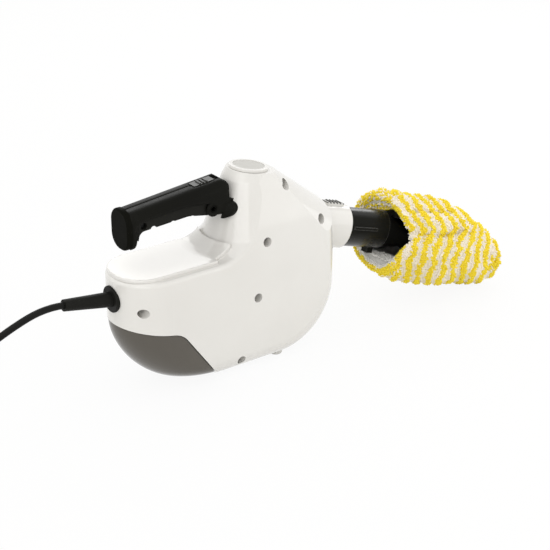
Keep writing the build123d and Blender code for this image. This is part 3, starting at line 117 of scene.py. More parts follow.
def opaque(colour):
    return colour if isinstance(colour, bpy.types.NodeSocket) else (*colour, 1)


def blend_colours(tree, share, first, second):
    made = node(tree, "Mix", {"data_type": "RGBA"})
    link_or_set(tree, made.inputs[0], share)
    link_or_set(tree, made.inputs[MIX_FIRST], opaque(first))
    link_or_set(tree, made.inputs[MIX_SECOND], opaque(second))
    return made.outputs[MIX_RESULT]


def show_mix(tree, share, first, second, output):
    """Shows two shaders, by the share of the second, at the tree's output."""
    mix = node(tree, "MixShader")
    feed(tree, mix, share, first.outputs[0], second.outputs[0])
    feed(tree, node(tree, output), mix.outputs[0])


# Camera, light and floor

SENSOR_MM = 36
LENS_MM = 93.27
CAMERA_REACH = 50
CAMERA_PLACE = (-0.8417, -1.1264, 0.7269)
CAMERA_TILT = math.radians(65)
CAMERA_PAN = math.radians(-36)
# Name, place, aim, size and power of each lamp
SOFTBOXES = [
    ("top_softbox", (-0.85, 0.0, 1.4), (-0.15, 0, 0.1), (1.8, 1.6), 5.7),
    ("front_softbox", (-1.35, -1.0, 0.7), (-0.2, 0, 0.1), (1.2, 1.0), 5),
    ("side_softbox", (0.62, -0.45, 0.34), (0.18, 0, 0.08), (0.9, 0.6), 1.4),
    ("back_softbox", (0.75, 1.35, 0.95), (0, 0, 0.15), (1.4, 0.7), 4.4),
    ("right_softbox", (1.30, 0.55, 0.80), (0.10, 0, 0.11), (0.5, 0.45), 2.6),
]
PURE_WHITE = (1, 1, 1, 1)
WARM_FILL = (1, 0.99, 0.97, 1)
FILL_STRENGTH = 0.80
FLOOR_SIZE = 12
FLOOR_Z = -0.0004
FLOOR_PAPER = (0.86, 0.86, 0.85, 1)
FLOOR_GLOW = 0.92


def add_to_scene(name, data):
    added = bpy.data.objects.new(name, data)
    bpy.context.scene.collection.objects.link(added)
    return added


def set_camera():
    data = bpy.data.cameras.new("photo_camera")
    data.sensor_width = SENSOR_MM
    data.lens = LENS_MM
    data.clip_end = CAMERA_REACH
    camera = add_to_scene("photo_camera", data)
    camera.location = CAMERA_PLACE
    camera.rotation_euler = (CAMERA_TILT, 0, CAMERA_PAN)
    bpy.context.scene.camera = camera


def softbox(name, place, aim, size, power):
    data = bpy.data.lights.new(name, "AREA")
    data.shape = "RECTANGLE"
    data.size, data.size_y = size
    data.energy = power
    lamp = add_to_scene(name, data)
    lamp.location = place
    lamp.rotation_euler = (Vector(aim) - Vector(place)).to_track_quat("-Z", "Y").to_euler()


def studio_white(tree):
    """One where the camera, a reflection or glass looks straight at the background."""
    path = node(tree, "LightPath")
    seen = math_node(tree, "MAXIMUM", path.outputs["Is Camera Ray"], path.outputs["Is Glossy Ray"])
    return math_node(tree, "MAXIMUM", seen, path.outputs["Is Transmission Ray"])


def set_world():
    world = bpy.data.worlds.new("studio")
    bpy.context.scene.world = world
    world.use_nodes = True
    tree = world.node_tree
    tree.nodes.clear()
    backdrop = node(tree, "Background", Color=PURE_WHITE, Strength=1.0)
    fill = node(tree, "Background", Color=WARM_FILL, Strength=FILL_STRENGTH)
    show_mix(tree, studio_white(tree), fill, backdrop, "OutputWorld")


def lay_floor():
    bpy.ops.mesh.primitive_plane_add(size=FLOOR_SIZE, location=(0, 0, FLOOR_Z))
    floor = bpy.context.object
    floor.name = "floor"
    mat = bpy.data.materials.new("floor_paper")
    mat.use_nodes = True
    tree = mat.node_tree
    tree.nodes.clear()
    paper = node(tree, "BsdfDiffuse", Color=FLOOR_PAPER)
    glow = node(tree, "Emission", Color=PURE_WHITE, Strength=1.0)
    share = math_node(tree, "MULTIPLY", studio_white(tree), FLOOR_GLOW)
    show_mix(tree, share, paper, glow, "OutputMaterial")
    floor.data.materials.append(mat)


# Finishes, whose scales are marks in a metre of surface

MM_IN_M = 1000
DRIFT_SCALE = 9.0
GLOSS_SCALE = 45.0
WEAR_AND_HIGHLIGHT_SCALE = 160.0
EDGE_DULLNESS = 0.2
GRAIN_RISE = 0.0001
COAT_ROUGHNESS = 0.06
TARNISH_SCALE = 60.0
TARNISH_SHADE = 0.72
BRUSHED_SCALE = 400.0
CAST_SCALE = 250.0
BRUSHED_STRETCH = (1.0, 12.0, 1.0)
RIB_PITCH = 0.0046
# A metre more keeps the distance along the nozzle above zero
PAST_ZERO = 1.0
GROOVE_TOP, GROOVE_FOOT = 0.1535, 0.1529
# Painted shade in the release button's grooves and on its sides
GROOVE_SHADE = (0.06, 0.06, 0.055)
RIB_PALE = (0.66, 0.65, 0.62)
RAGGED_SCALE = 300.0
BUTTON_SCALE = 2500.0
WARP_RATE, WEFT_RATE = 5200.0, 4200.0
FUZZ_SCALE = 500.0


def begin_finish(name, colour, roughness):
    mat = bpy.data.materials.new(name)
    mat.use_nodes = True
    tree = mat.node_tree
    shader = tree.nodes["Principled BSDF"]
    shader.inputs["Base Color"].default_value = (*colour, 1)
    shader.inputs["Roughness"].default_value = roughness
    mat.diffuse_color = (*colour, 1)
    return mat, tree, shader


def hard_edge(tree, radius):
    """One along a hard edge, zero on flat ground."""
    soft = node(tree, "Bevel", {"samples": 4}, Radius=radius).outputs[0]
    hard = node(tree, "NewGeometry").outputs["Normal"]
    return ramp(tree, dot_product(tree, soft, hard), 0.98, 0.75)


def raise_bump(tree, shader, height, strength, distance, soften=0.0):
    made = node(tree, "Bump", Height=height, Strength=strength, Distance=distance)
    if soften:
        rounded = node(tree, "Bevel", {"samples": 8}, Radius=soften)
        tree.links.new(rounded.outputs[0], made.inputs["Normal"])
    tree.links.new(made.outputs[0], shader.inputs["Normal"])


def moulded(name, colour, shade, roughness, grain_mm, bump, wear_and_highlight=None, wear_and_highlight_mm=0.5, wear_and_highlight_least=0.0,
            coat=0.0, specular=0.5, grazing=None, soften_mm=0.0):
    """Moulded plastic: slight colour drift, uneven gloss, fine surface grain and softened edges in their own
    colour, which is rubbed wear and, on the nozzle, a painted highlight.
    With grazing, the shine goes from specular to that level where the surface turns away."""
    mat, tree, shader = begin_finish(name, colour, roughness)
    drift = ramp(tree, grain(tree, DRIFT_SCALE, detail=4.0), 0.35, 0.65)
    tint = blend_colours(tree, drift, colour, shade)
    patches = grain(tree, GLOSS_SCALE, detail=5.0, rough=0.65)
    gloss = ramp(tree, patches, 0.3, 0.7, roughness * 0.8, min(1.0, roughness * 1.25))
    # Edges in their own colour: rubbed wear, and on the nozzle a painted highlight
    if wear_and_highlight:
        wear_and_highlight_patches = ramp(tree, grain(tree, WEAR_AND_HIGHLIGHT_SCALE, detail=5.0), 0.42, 0.62, wear_and_highlight_least)
        wear_and_highlight_share = math_node(tree, "MULTIPLY", hard_edge(tree, wear_and_highlight_mm / MM_IN_M), wear_and_highlight_patches)
        tint = blend_colours(tree, wear_and_highlight_share, tint, wear_and_highlight)
        gloss = math_node(tree, "ADD", gloss, math_node(tree, "MULTIPLY", wear_and_highlight_share, EDGE_DULLNESS))
    tree.links.new(tint, shader.inputs["Base Color"])
    tree.links.new(gloss, shader.inputs["Roughness"])
    texture = grain(tree, MM_IN_M / grain_mm, detail=2.0)
    raise_bump(tree, shader, texture, bump, grain_mm * GRAIN_RISE, soften_mm / MM_IN_M)
    shine = specular
    if grazing:
        facing = node(tree, "LayerWeight", Blend=0.5).outputs["Facing"]
        shine = ramp(tree, facing, 0.30, 0.75, specular, grazing)
    link_or_set(tree, shader.inputs["Specular IOR Level"], shine)
    shader.inputs["Coat Weight"].default_value = coat
    shader.inputs["Coat Roughness"].default_value = COAT_ROUGHNESS
    return mat


def metal(name, colour, roughness, scratch=BRUSHED_SCALE):
    """Bare metal with fine lines one way and darker, tarnished patches."""
    mat, tree, shader = begin_finish(name, colour, roughness)
    shader.inputs["Metallic"].default_value = 1.0
    stretch = node(tree, "Mapping", Vector=place_of(tree), Scale=BRUSHED_STRETCH)
    lines = node(tree, "TexNoise", Vector=stretch.outputs[0], Scale=scratch, Detail=4.0).outputs["Fac"]
    tarnish = ramp(tree, grain(tree, TARNISH_SCALE, detail=4.0), 0.35, 0.7)
    tint = blend_colours(tree, tarnish, colour, tuple(TARNISH_SHADE * c for c in colour))
    gloss = ramp(tree, lines, 0.3, 0.7, roughness * 0.7, roughness * 1.4)
    tree.links.new(tint, shader.inputs["Base Color"])
    tree.links.new(gloss, shader.inputs["Roughness"])
    raise_bump(tree, shader, lines, strength=0.15, distance=0.0001)
    return mat


def grooved(name):
    """Pale button with painted shade in the grooves between the ribs of its top, across the nozzle's axis,
    and on the button below its ribbed top.
    """
    mat, tree, shader = begin_finish(name, (0.62, 0.61, 0.58), 0.4)
    along = math_node(tree, "ADD", dot_product(tree, place_of(tree), tuple(ALONG)), PAST_ZERO)
    band = math_node(tree, "PINGPONG", math_node(tree, "DIVIDE", along, RIB_PITCH), 0.5)
    # Painted shade: dark bands in the grooves between the ribs, and dark below the ribs' top
    ragged = math_node(tree, "ADD", band, math_node(tree, "MULTIPLY", grain(tree, RAGGED_SCALE), 0.1))
    painted_side_shade = ramp(tree, dot_product(tree, place_of(tree), tuple(UPWARD)), GROOVE_TOP, GROOVE_FOOT)
    share = math_node(tree, "MAXIMUM", ramp(tree, ragged, 0.24, 0.36), painted_side_shade)
    tree.links.new(blend_colours(tree, share, GROOVE_SHADE, RIB_PALE), shader.inputs["Base Color"])
    raise_bump(tree, shader, grain(tree, BUTTON_SCALE, detail=2.0), strength=0.2, distance=0.00004)
    return mat


def woven(name, colour, shade):
    """Flat weave: two sets of threads that cross."""
    mat, tree, shader = begin_finish(name, colour, 0.85)
    place = node(tree, "SeparateXYZ", Vector=place_of(tree))
    run = math_node(tree, "ADD", place.outputs["X"], place.outputs["Z"])
    warp = math_node(tree, "SINE", math_node(tree, "MULTIPLY", place.outputs["Y"], WARP_RATE))
    weft = math_node(tree, "SINE", math_node(tree, "MULTIPLY", run, WEFT_RATE))
    cross = ramp(tree, math_node(tree, "MULTIPLY", warp, weft), -0.8, 0.8)
    fuzz = ramp(tree, grain(tree, FUZZ_SCALE, detail=4.0), 0.3, 0.7)
    share = math_node(tree, "MULTIPLY", math_node(tree, "ADD", cross, fuzz), 0.5)
    tree.links.new(blend_colours(tree, share, colour, shade), shader.inputs["Base Color"])
    shader.inputs["Specular IOR Level"].default_value = 0.2
    raise_bump(tree, shader, cross, strength=0.6, distance=0.0003)
    return mat


# Name, colour, shade, roughness, grain in millimetres and bump of each moulding
FINISHES = {
    "white_shell": moulded("white_housing", (0.755, 0.742, 0.712), (0.725, 0.710, 0.678), 0.14, 0.9, 0.08,
                           wear_and_highlight=(0.80, 0.79, 0.765), wear_and_highlight_mm=0.6, coat=0.5),
    "cap_disc": moulded("pale_cap_disc", (0.46, 0.45, 0.415), (0.41, 0.40, 0.365), 0.30, 0.5, 0.2),
    "grey_trim": moulded("smoke_grey_bumper", (0.100, 0.090, 0.075), (0.086, 0.077, 0.064), 0.16, 0.9, 0.08,
                         wear_and_highlight=(0.20, 0.19, 0.17), wear_and_highlight_mm=0.6, coat=0.15, specular=0.3),
    "black_grip": moulded("satin_black_grip", (0.005, 0.005, 0.004), (0.008, 0.008, 0.006), 0.32, 0.35, 0.25,
                          wear_and_highlight=(0.016, 0.016, 0.014), specular=0.06, soften_mm=6.0),
    # The nozzle's pale colour on nearly every edge is a painted highlight along its ribs and rims
    "black_nozzle": moulded("black_nozzle_gloss", (0.007, 0.007, 0.006), (0.011, 0.011, 0.009), 0.24, 0.5,
                            0.15, wear_and_highlight=(0.13, 0.129, 0.123), wear_and_highlight_mm=1.2, wear_and_highlight_least=0.75,
                            specular=0.03, grazing=0.8),
    "inner_plastic": moulded("inner_grey_moulding", (0.20, 0.20, 0.20), (0.16, 0.16, 0.16), 0.5, 0.5, 0.3),
    "black_rubber": moulded("soft_black_rubber", (0.008, 0.008, 0.007), (0.013, 0.013, 0.011), 0.45, 0.4,
                            0.35, specular=0.08),
    "pale_rubber": moulded("off_white_foot", (0.72, 0.71, 0.68), (0.66, 0.65, 0.62), 0.55, 0.5, 0.3),
    "cord_black": moulded("lead_jacket", (0.007, 0.007, 0.006), (0.011, 0.011, 0.010), 0.40, 0.6, 0.25,
                          specular=0.1),
    "seal": moulded("red_silicone", (0.32, 0.06, 0.05), (0.26, 0.05, 0.04), 0.5, 0.5, 0.25),
    "steel": metal("bright_steel", (0.62, 0.62, 0.61), 0.28),
    "aluminium": metal("cast_aluminium", (0.70, 0.70, 0.69), 0.42, CAST_SCALE),
    "pipe": moulded("heat_proof_pipe", (0.66, 0.63, 0.56), (0.60, 0.57, 0.50), 0.5, 0.5, 0.25),
    "coil_wrap": moulded("varnished_winding", (0.40, 0.16, 0.05), (0.30, 0.11, 0.03), 0.35, 0.4, 0.4),
    "wire": moulded("wire_insulation", (0.34, 0.06, 0.05), (0.28, 0.05, 0.04), 0.45, 0.5, 0.2),
    "tie": woven("woven_strap", (0.020, 0.020, 0.020), (0.045, 0.045, 0.043)),
    "terry": moulded("terry_plain", (0.85, 0.70, 0.20), (0.80, 0.62, 0.10), 0.9, 0.8, 0.6),
}

# Nodes whose finish differs from their slot's
OWN_FINISHES = {
    "trigger_screw": metal("blackened_screw", (0.035, 0.035, 0.034), 0.45),
    "trigger": moulded("rubbed_black_lever", (0.014, 0.014, 0.012), (0.018, 0.018, 0.016), 0.36, 0.35, 0.25,
                       wear_and_highlight=(0.035, 0.035, 0.032), wear_and_highlight_mm=0.6, specular=0.04, soften_mm=3.0),
    "handle_end_cap": moulded("black_end_cap", (0.005, 0.005, 0.004), (0.008, 0.008, 0.006), 0.40, 0.35, 0.2,
                              wear_and_highlight=(0.016, 0.016, 0.014), specular=0.01),
    "child_lock": moulded("dark_grey_slide", (0.030, 0.030, 0.027), (0.040, 0.040, 0.036), 0.30, 0.35, 0.2,
                          wear_and_highlight=(0.07, 0.07, 0.065), specular=0.45),
    "nozzle_head": moulded("black_head", (0.004, 0.004, 0.0035), (0.006, 0.006, 0.005), 0.7, 0.5, 0.2,
                           specular=0.01),
    "release_button": grooved("grooved_release_button"),
}


def dress(piece, finish):
    piece.data.materials.clear()
    piece.data.materials.append(finish)


def paint_nodes():
    slot_of = {row["node"]: row["material_slot"] for row in frame["record"]["subparts"]}
    for name, piece in nodes.items():
        dress(piece, OWN_FINISHES.get(name) or FINISHES[slot_of[name]])


# Edit-mode steps that the plug, the strap and the springs share

FACING = 0.9
SHARP = math.radians(40)
ROUND_SEGMENTS = 2


def settle():
    """Puts the selected piece's place, turn and size into its mesh."""
    bpy.ops.object.transform_apply(location=True, rotation=True, scale=True)


def edit(piece):
    bpy.ops.object.select_all(action="DESELECT")
    piece.select_set(True)
    bpy.context.view_layer.objects.active = piece
    bpy.ops.object.mode_set(mode="EDIT")
    bpy.ops.mesh.select_all(action="DESELECT")


def done():
    bpy.ops.object.mode_set(mode="OBJECT")


def pick(piece, kind, test):
    """Selects the faces or edges whose middle, and normal or direction, pass the test."""
    bpy.ops.mesh.select_mode(type=kind)
    bpy.ops.mesh.select_all(action="DESELECT")
    bpy.ops.object.mode_set(mode="OBJECT")
    mesh = piece.data
    if kind == "FACE":
        for face in mesh.polygons:
            face.select = test(face.center, face.normal)
    else:
        for line in mesh.edges:
            a, b = (mesh.vertices[i].co for i in line.vertices)
            line.select = test((a + b) / 2, (b - a).normalized())
    bpy.ops.object.mode_set(mode="EDIT")


def push(x=0, z=0):
    """Extrudes what is selected."""
    bpy.ops.mesh.extrude_region_move(TRANSFORM_OT_translate={"value": (x, 0, z)})


def round_off(piece, width):
    """Rounds every sharp edge."""
    bevel = piece.modifiers.new("rounding", "BEVEL")
    bevel.width = width
    bevel.segments = ROUND_SEGMENTS
    bevel.limit_method = "ANGLE"
    bevel.angle_limit = SHARP
    bpy.ops.object.modifier_apply(modifier="rounding")
    bpy.ops.object.shade_smooth_by_angle(angle=SHARP)


# Wire springs in place of the plain sleeves

SPRING_RADIUS = 0.0030
SPRING_WIRE = 0.0009
WIRE_SIDES = 8
TURN_STEPS = 20
MERGE_DISTANCE = 0.00001
WIRE_SMOOTH = math.radians(60)


def wire_spring(name, sleeve, start, axis, length, turns):
    """Wound wire, fixed to the base."""
    wire_r = SPRING_WIRE / 2
    bpy.ops.mesh.primitive_circle_add(vertices=WIRE_SIDES, radius=wire_r, fill_type="NOTHING",
                                      location=(SPRING_RADIUS - wire_r, 0, wire_r),
                                      rotation=(math.pi / 2, 0, 0))
    spring = bpy.context.object
    spring.name = name
    settle()
    screw = spring.modifiers.new("winding", "SCREW")
    screw.screw_offset = (length - SPRING_WIRE) / turns
    screw.iterations = turns
    screw.steps = TURN_STEPS
    screw.render_steps = TURN_STEPS
    bpy.ops.object.modifier_apply(modifier="winding")
    edit(spring)
    bpy.ops.mesh.select_all(action="SELECT")
    bpy.ops.mesh.remove_doubles(threshold=MERGE_DISTANCE)
    bpy.ops.mesh.select_mode(type="EDGE")
    bpy.ops.mesh.select_all(action="DESELECT")
    bpy.ops.mesh.select_non_manifold()
    bpy.ops.mesh.fill_holes(sides=WIRE_SIDES)
    bpy.ops.mesh.select_all(action="SELECT")
    bpy.ops.mesh.normals_make_consistent(inside=False)
    done()
    spring.rotation_euler = Vector(axis).to_track_quat("Z", "Y").to_euler()
    spring.location = start
    settle()
    bpy.ops.object.shade_smooth_by_angle(angle=WIRE_SMOOTH)
    dress(spring, FINISHES["steel"])
    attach(spring, "base")
    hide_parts(sleeve)
    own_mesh(spring)


# Plug at the lead's far end

PLUG_RADIUS = 0.018
PLUG_LENGTH = 0.034
PLUG_X, PLUG_Y = -0.4245, 0.098
PLUG_SIDES = 48
PLUG_ROUNDING = 0.0007
FACE_RIM = 0.0022
FACE_SUNK = 0.0006
SHOULDER_INSET = 0.0030
SHOULDER_LENGTH = 0.0020
NECK_INSET = 0.0085
NECK_RIBS = 4
RIB_LENGTH = 0.0020
GAP_INSET = 0.0010
GAP_LENGTH = 0.0014
RIB_FLARE = 0.0008


def plug_moulding():
    """Round moulded plug with a sunk front face, a stepped shoulder and a ribbed, narrowing neck."""
    bpy.ops.mesh.primitive_cylinder_add(vertices=PLUG_SIDES, radius=PLUG_RADIUS, depth=PLUG_LENGTH,
                                        location=(PLUG_X, PLUG_Y, PLUG_RADIUS),
                                        rotation=(0, math.pi / 2, 0))
    plug = bpy.context.object
    plug.name = "plug_moulding"
    settle()
    edit(plug)
    pick(plug, "FACE", lambda middle, normal: normal.x > FACING)
    bpy.ops.mesh.inset(thickness=FACE_RIM)
    push(x=-FACE_SUNK)
    pick(plug, "FACE", lambda middle, normal: normal.x < -FACING)
    bpy.ops.mesh.inset(thickness=SHOULDER_INSET)
    push(x=-SHOULDER_LENGTH)
    bpy.ops.mesh.inset(thickness=NECK_INSET)
    for rib in range(NECK_RIBS):
        if rib > 0:
            bpy.ops.mesh.inset(thickness=-RIB_FLARE)
        push(x=-RIB_LENGTH)
        bpy.ops.mesh.inset(thickness=GAP_INSET)
        push(x=-GAP_LENGTH)
    done()
    round_off(plug, PLUG_ROUNDING)
    dress(plug, FINISHES["cord_black"])
    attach(plug, "base")
    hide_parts("plug_body")
    return plug


# Mains lead, wound in layers on the floor

LEAD_D = 0.007
LEAD_ROUNDNESS = 4
LEAD_STEPS = 6
LEAD_ORDER = 3
COIL_X, COIL_Y, COIL_Z = -0.5513, 0.042, 0.00482
COIL_R, COIL_STEP, LAYER_RISE = 0.056, 0.0039, 0.0078
LAYERS = 4
FIRST_HALF_TURNS, HALF_TURNS = 7, 6
HALF_POINTS = 6
POINT_STEP = 180 / HALF_POINTS
LEAD_ROUTE = [(-0.2767, 0, 0.11447), (-0.2974, 0, 0.11776), (-0.3373, 0, 0.1055), (-0.3833, 0, 0.084),
              (-0.4253, -0.001, 0.055), (-0.4593, -0.004, 0.027), (-0.4873, -0.010, 0.009),
              (-0.5163, -0.014, COIL_Z)]
LEAD_END = [(-0.5191, PLUG_Y, 0.02822), (-0.4827, PLUG_Y, PLUG_RADIUS), (-0.4575, PLUG_Y, PLUG_RADIUS)]


def coil_ends():
    """Where each half turn of the wound lead ends: in and out, a layer higher at each reversal."""
    z, r, side, step = COIL_Z, COIL_R, -1, -COIL_STEP
    ends = [Vector((COIL_X, COIL_Y + side * r, z))]
    for layer in range(LAYERS):
        halves = HALF_TURNS if layer else FIRST_HALF_TURNS
        for i in range(halves):
            side = -side
            r += step * (2 if layer and i == 0 else 1)
            if i == halves - 1 and layer < LAYERS - 1:
                z += LAYER_RISE
            ends.append(Vector((COIL_X, COIL_Y + side * r, z)))
        step = -step
    return ends


def coil_turns():
    """The control points of every half turn, spread evenly round it."""
    points = []
    ends = coil_ends()
    for i, (a, b) in enumerate(zip(ends, ends[1:])):
        middle = (a + b) / 2
        r = abs(b.y - a.y) / 2 / math.cos(math.radians(POINT_STEP / 2))
        side = 1 if a.y > b.y else -1
        out = -1 if i % 2 == 0 else 1
        for k in range(HALF_POINTS):
            t = math.radians(POINT_STEP * (k + 0.5))
            points.append((middle.x + out * r * math.sin(t), middle.y + side * r * math.cos(t),
                           a.z + (b.z - a.z) * (k + 0.5) / HALF_POINTS))
    return points


def mains_lead(plug, strap):
    data = bpy.data.curves.new("mains_lead", "CURVE")
    data.dimensions = "3D"
    data.bevel_depth = LEAD_D / 2
    data.bevel_resolution = LEAD_ROUNDNESS
    data.use_fill_caps = True
    data.resolution_u = LEAD_STEPS
    line = data.splines.new("NURBS")
    points = LEAD_ROUTE + coil_turns() + LEAD_END
    line.points.add(len(points) - 1)
    for point, place in zip(line.points, points):
        point.co = (*place, 1)
    line.order_u = LEAD_ORDER
    line.use_endpoint_u = True
    lead = add_to_scene("mains_lead", data)
    dress(lead, FINISHES["cord_black"])
    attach(lead, "base")
    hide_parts("power_cord", "cord_coil", "cord_end")


# Strap round the coil

STRAP_X = -0.59185
STRAP_LENGTH, STRAP_WIDTH, STRAP_HEIGHT = 0.0409, 0.012, 0.0332
STRAP_CORNER = 0.0042
CORNER_SEGMENTS = 4
STRAP_THICKNESS = 0.0012
STRAP_ROUNDING = 0.0003
FOLD_X = -0.5860
FOLD_RISE = 0.0010
UNDER_TOP = 0.033


def strap_tie():
    """Woven strap round the coil, its end folded over on top."""
    bpy.ops.mesh.primitive_cube_add(size=1, location=(STRAP_X, COIL_Y, STRAP_HEIGHT / 2))
    strap = bpy.context.object
    strap.name = "strap_tie"
    strap.scale = (STRAP_LENGTH, STRAP_WIDTH, STRAP_HEIGHT)
    settle()
    edit(strap)
    pick(strap, "EDGE", lambda middle, way: abs(way.y) > FACING)
    bpy.ops.mesh.bevel(offset=STRAP_CORNER, segments=CORNER_SEGMENTS, affect="EDGES")
    pick(strap, "FACE", lambda middle, normal: abs(normal.y) > FACING)
    bpy.ops.mesh.inset(thickness=STRAP_THICKNESS, use_individual=True)
    bpy.ops.mesh.bridge_edge_loops()
    bpy.ops.mesh.select_all(action="SELECT")
    bpy.ops.mesh.bisect(plane_co=(FOLD_X, COIL_Y, UNDER_TOP), plane_no=(1, 0, 0))
    pick(strap, "FACE", lambda middle, normal: (normal.z > FACING and middle.z > UNDER_TOP
                                                and middle.x > FOLD_X))
    push(z=FOLD_RISE)
    done()
    round_off(strap, STRAP_ROUNDING)
    dress(strap, FINISHES["tie"])
    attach(strap, "base")
    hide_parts("cord_tie")
    return strap


# Striped terry bonnet, laid out along the nozzle's axis

COLLAR = np.array([0.0667, 0, 0.1125])
# Distance from the collar, drop, half width and half height, in millimetres
BAG = np.array([(50, 0, 44, 38), (76, -5, 50, 44), (110, -9, 59, 46), (150, -9, 63, 45), (185, -14, 60, 41),
                (210, -20, 51, 31), (224, -26, 40, 18), (231, -29, 33, 4)]) / MM_IN_M
MOUTH, TIP = 0.0600, BAG[-1, 0]
ROLL_R = 0.0040
HALF_ROLL = math.pi * ROLL_R
LINING_INSET = 0.0030
CLOTH_SET = 0.0015
PILE_STAND = 0.0036
FLOOR_EASE = 0.0015

# Folds of the bag: angles from the top in radians, and how far the cloth moves in metres
LOW_CREASE_AT, LOW_CREASE_CLIMB, LOW_CREASE = 1.26, 0.34, 0.0044
HIGH_CREASE_AT, HIGH_CREASE_CLIMB, HIGH_CREASE = 0.60, 0.16, 0.0052
CLIMB_LENGTH = 0.09
MIDDLE_LOBE = 0.0058
LOW_LOBE_BELOW, LOW_LOBE = 0.36, 0.0032
RIM_LENGTH = 0.045
RIM_BULGES_AT, RIM_BULGE = (5.40, 2.75), 0.0045
TOP_AT, TOP_SWELL = 6.05, 0.0042
BELLY_AT, BELLY_SWELL = 3.3, 0.0020
WIDE_RIPPLE, FINE_RIPPLE = 0.0011, 0.0008
SQUARE_BELLY = 0.10
LEAST_HEIGHT = 0.0006
NOTCH_AT, NOTCH = 1.42, 0.011
EDGE_SWEEP_AT, EDGE_SWEEP = 1.2, 0.0065
EDGE_WAVE, EDGE_FINE_WAVE = 0.0008, 0.0006
CREASE_PULL = 0.003
SLOPE_STEP, SLOPE_TURN = 1e-4, 0.004

# Cloth bunched inside the mouth, at the far top and at the bottom
TOP_BUNCH_AT, TOP_BUNCH = 5.75, 0.015
LOW_BUNCH_AT, LOW_BUNCH = 2.95, 0.016
BUNCH_IN = 0.012
LINING_EASE = 0.03

# Stripes: their pitch, the level and upright ways that they follow, and where the crease bends them
STRIPE = 0.0131
STRIPE_LEVEL = np.array([0.809, -0.588, 0.0])
STRIPE_UPRIGHT = np.array([0.225, 0.310, 0.924])
STRIPE_START = np.array([0.1870, -0.0500, 0.0960])
STRIPE_RIDGE = 0.0012
RIDGE_FROM_RIM = 0.006
RIDGE_FADE, RIDGE_END = 0.012, 0.002
STRIPE_BEND, BEND_LENGTH = 0.018, 0.022
STRIPE_SLANT = 0.72
CREASE_RISE = 0.016
RISE_FROM, RISE_TO = 0.02, 0.06
WIDE_WAVER, FINE_WAVER = 0.0011, 0.0007

# Gathered end
GATHER = np.array([0.2500, -0.0560, 0.0405])
GATHER_INNER, GATHER_OUTER = 0.010, 0.018
GATHER_RIDGE = 0.0035
GATHER_CALM = 0.6
GATHER_WIDTH = 0.007
STAR_ARMS = 5
STAR_TURN = 0.6
STAR_HEART, HEART_YELLOW = 0.004, 1.4


def bag_size(s):
    """Drop, half width and half height at the distance s from the collar."""
    knots = BAG[:, 0]
    i = np.clip(np.searchsorted(knots, s) - 1, 0, len(knots) - 2)
    t = ((s - knots[i]) / (knots[i + 1] - knots[i]))[..., None]
    slope = np.gradient(BAG[:, 1:], knots, axis=0)
    run = (knots[i + 1] - knots[i])[..., None]
    a, b = BAG[i, 1:], BAG[i + 1, 1:]
    ma, mb = slope[i] * run, slope[i + 1] * run
    value = ((2 * t ** 3 - 3 * t ** 2 + 1) * a + (t ** 3 - 2 * t ** 2 + t) * ma
             + (-2 * t ** 3 + 3 * t ** 2) * b + (t ** 3 - t ** 2) * mb)
    return value[..., 0], value[..., 1], value[..., 2]


def hump(x, width):
    return np.exp(-(x / width) ** 2)


def ease(x, low, high):
    t = np.clip((x - low) / (high - low), 0, 1)
    return t * t * (3 - 2 * t)


def unit(way):
    return way / np.linalg.norm(way, axis=-1, keepdims=True)


def turn_from(phi, middle):
    return (phi - middle + math.pi) % (2 * math.pi) - math.pi


def fold(s, turn, width, fades, grows=None):
    """A soft fold along the bag. It grows and fades between distances from the collar."""
    shape = hump(turn, width)
    if grows:
        shape = shape * ease(s, *grows)
    return shape * (1 - ease(s, *fades))


def bag_folds(s, phi):
    """How far the folds swell the cloth outwards and shift it forwards."""
    turn = turn_from(phi, 0)
    climb = ease(s, MOUTH, MOUTH + CLIMB_LENGTH)
    rim = 1 - ease(s, MOUTH, MOUTH + RIM_LENGTH)
    low_line = LOW_CREASE_AT - LOW_CREASE_CLIMB * climb
    high_line = HIGH_CREASE_AT - HIGH_CREASE_CLIMB * climb
    between = turn - 0.5 * (low_line + high_line)
    low_crease = fold(s, turn - low_line, width=0.085, fades=(0.12, 0.175))
    shallower = 0.5 * ease(s, 0.074, 0.086)
    deeper = ease(s, 0.094, 0.108)
    low_crease = low_crease * (1 - shallower + deeper)
    high_crease = fold(s, turn - high_line, width=0.075, grows=(0.066, 0.078), fades=(0.12, 0.155))
    middle_lobe = fold(s, between, width=0.19, grows=(0.064, 0.085), fades=(0.13, 0.17))
    low_lobe = fold(s, turn - low_line - LOW_LOBE_BELOW, width=0.25, fades=(0.11, 0.17))
    swell = (MIDDLE_LOBE * middle_lobe + LOW_LOBE * low_lobe
             - LOW_CREASE * low_crease - HIGH_CREASE * high_crease)
    swell = swell + rim * sum(RIM_BULGE * hump(turn_from(phi, at), width=0.5) for at in RIM_BULGES_AT)
    top = fold(s, turn_from(phi, TOP_AT), width=0.75, grows=(0.05, 0.07), fades=(0.10, 0.16))
    belly = fold(s, turn_from(phi, BELLY_AT), width=0.8, fades=(0.17, 0.21))
    swell = swell + TOP_SWELL * top + BELLY_SWELL * belly
    ripple = WIDE_RIPPLE * np.sin(3 * phi + 55 * s) + FINE_RIPPLE * np.sin(5 * phi - 90 * s + 1.0)
    swell = swell + ripple * ease(s, 0.06, 0.09) * (1 - ease(s, 0.20, 0.228))
    edge = EDGE_SWEEP * hump(turn - EDGE_SWEEP_AT, width=0.85)
    edge = edge + EDGE_WAVE * np.sin(7 * phi + 0.5) + EDGE_FINE_WAVE * np.sin(11 * phi + 2.0)
    notch = hump(turn - NOTCH_AT, width=0.16) * rim
    return swell, NOTCH * notch + edge * rim + CREASE_PULL * low_crease


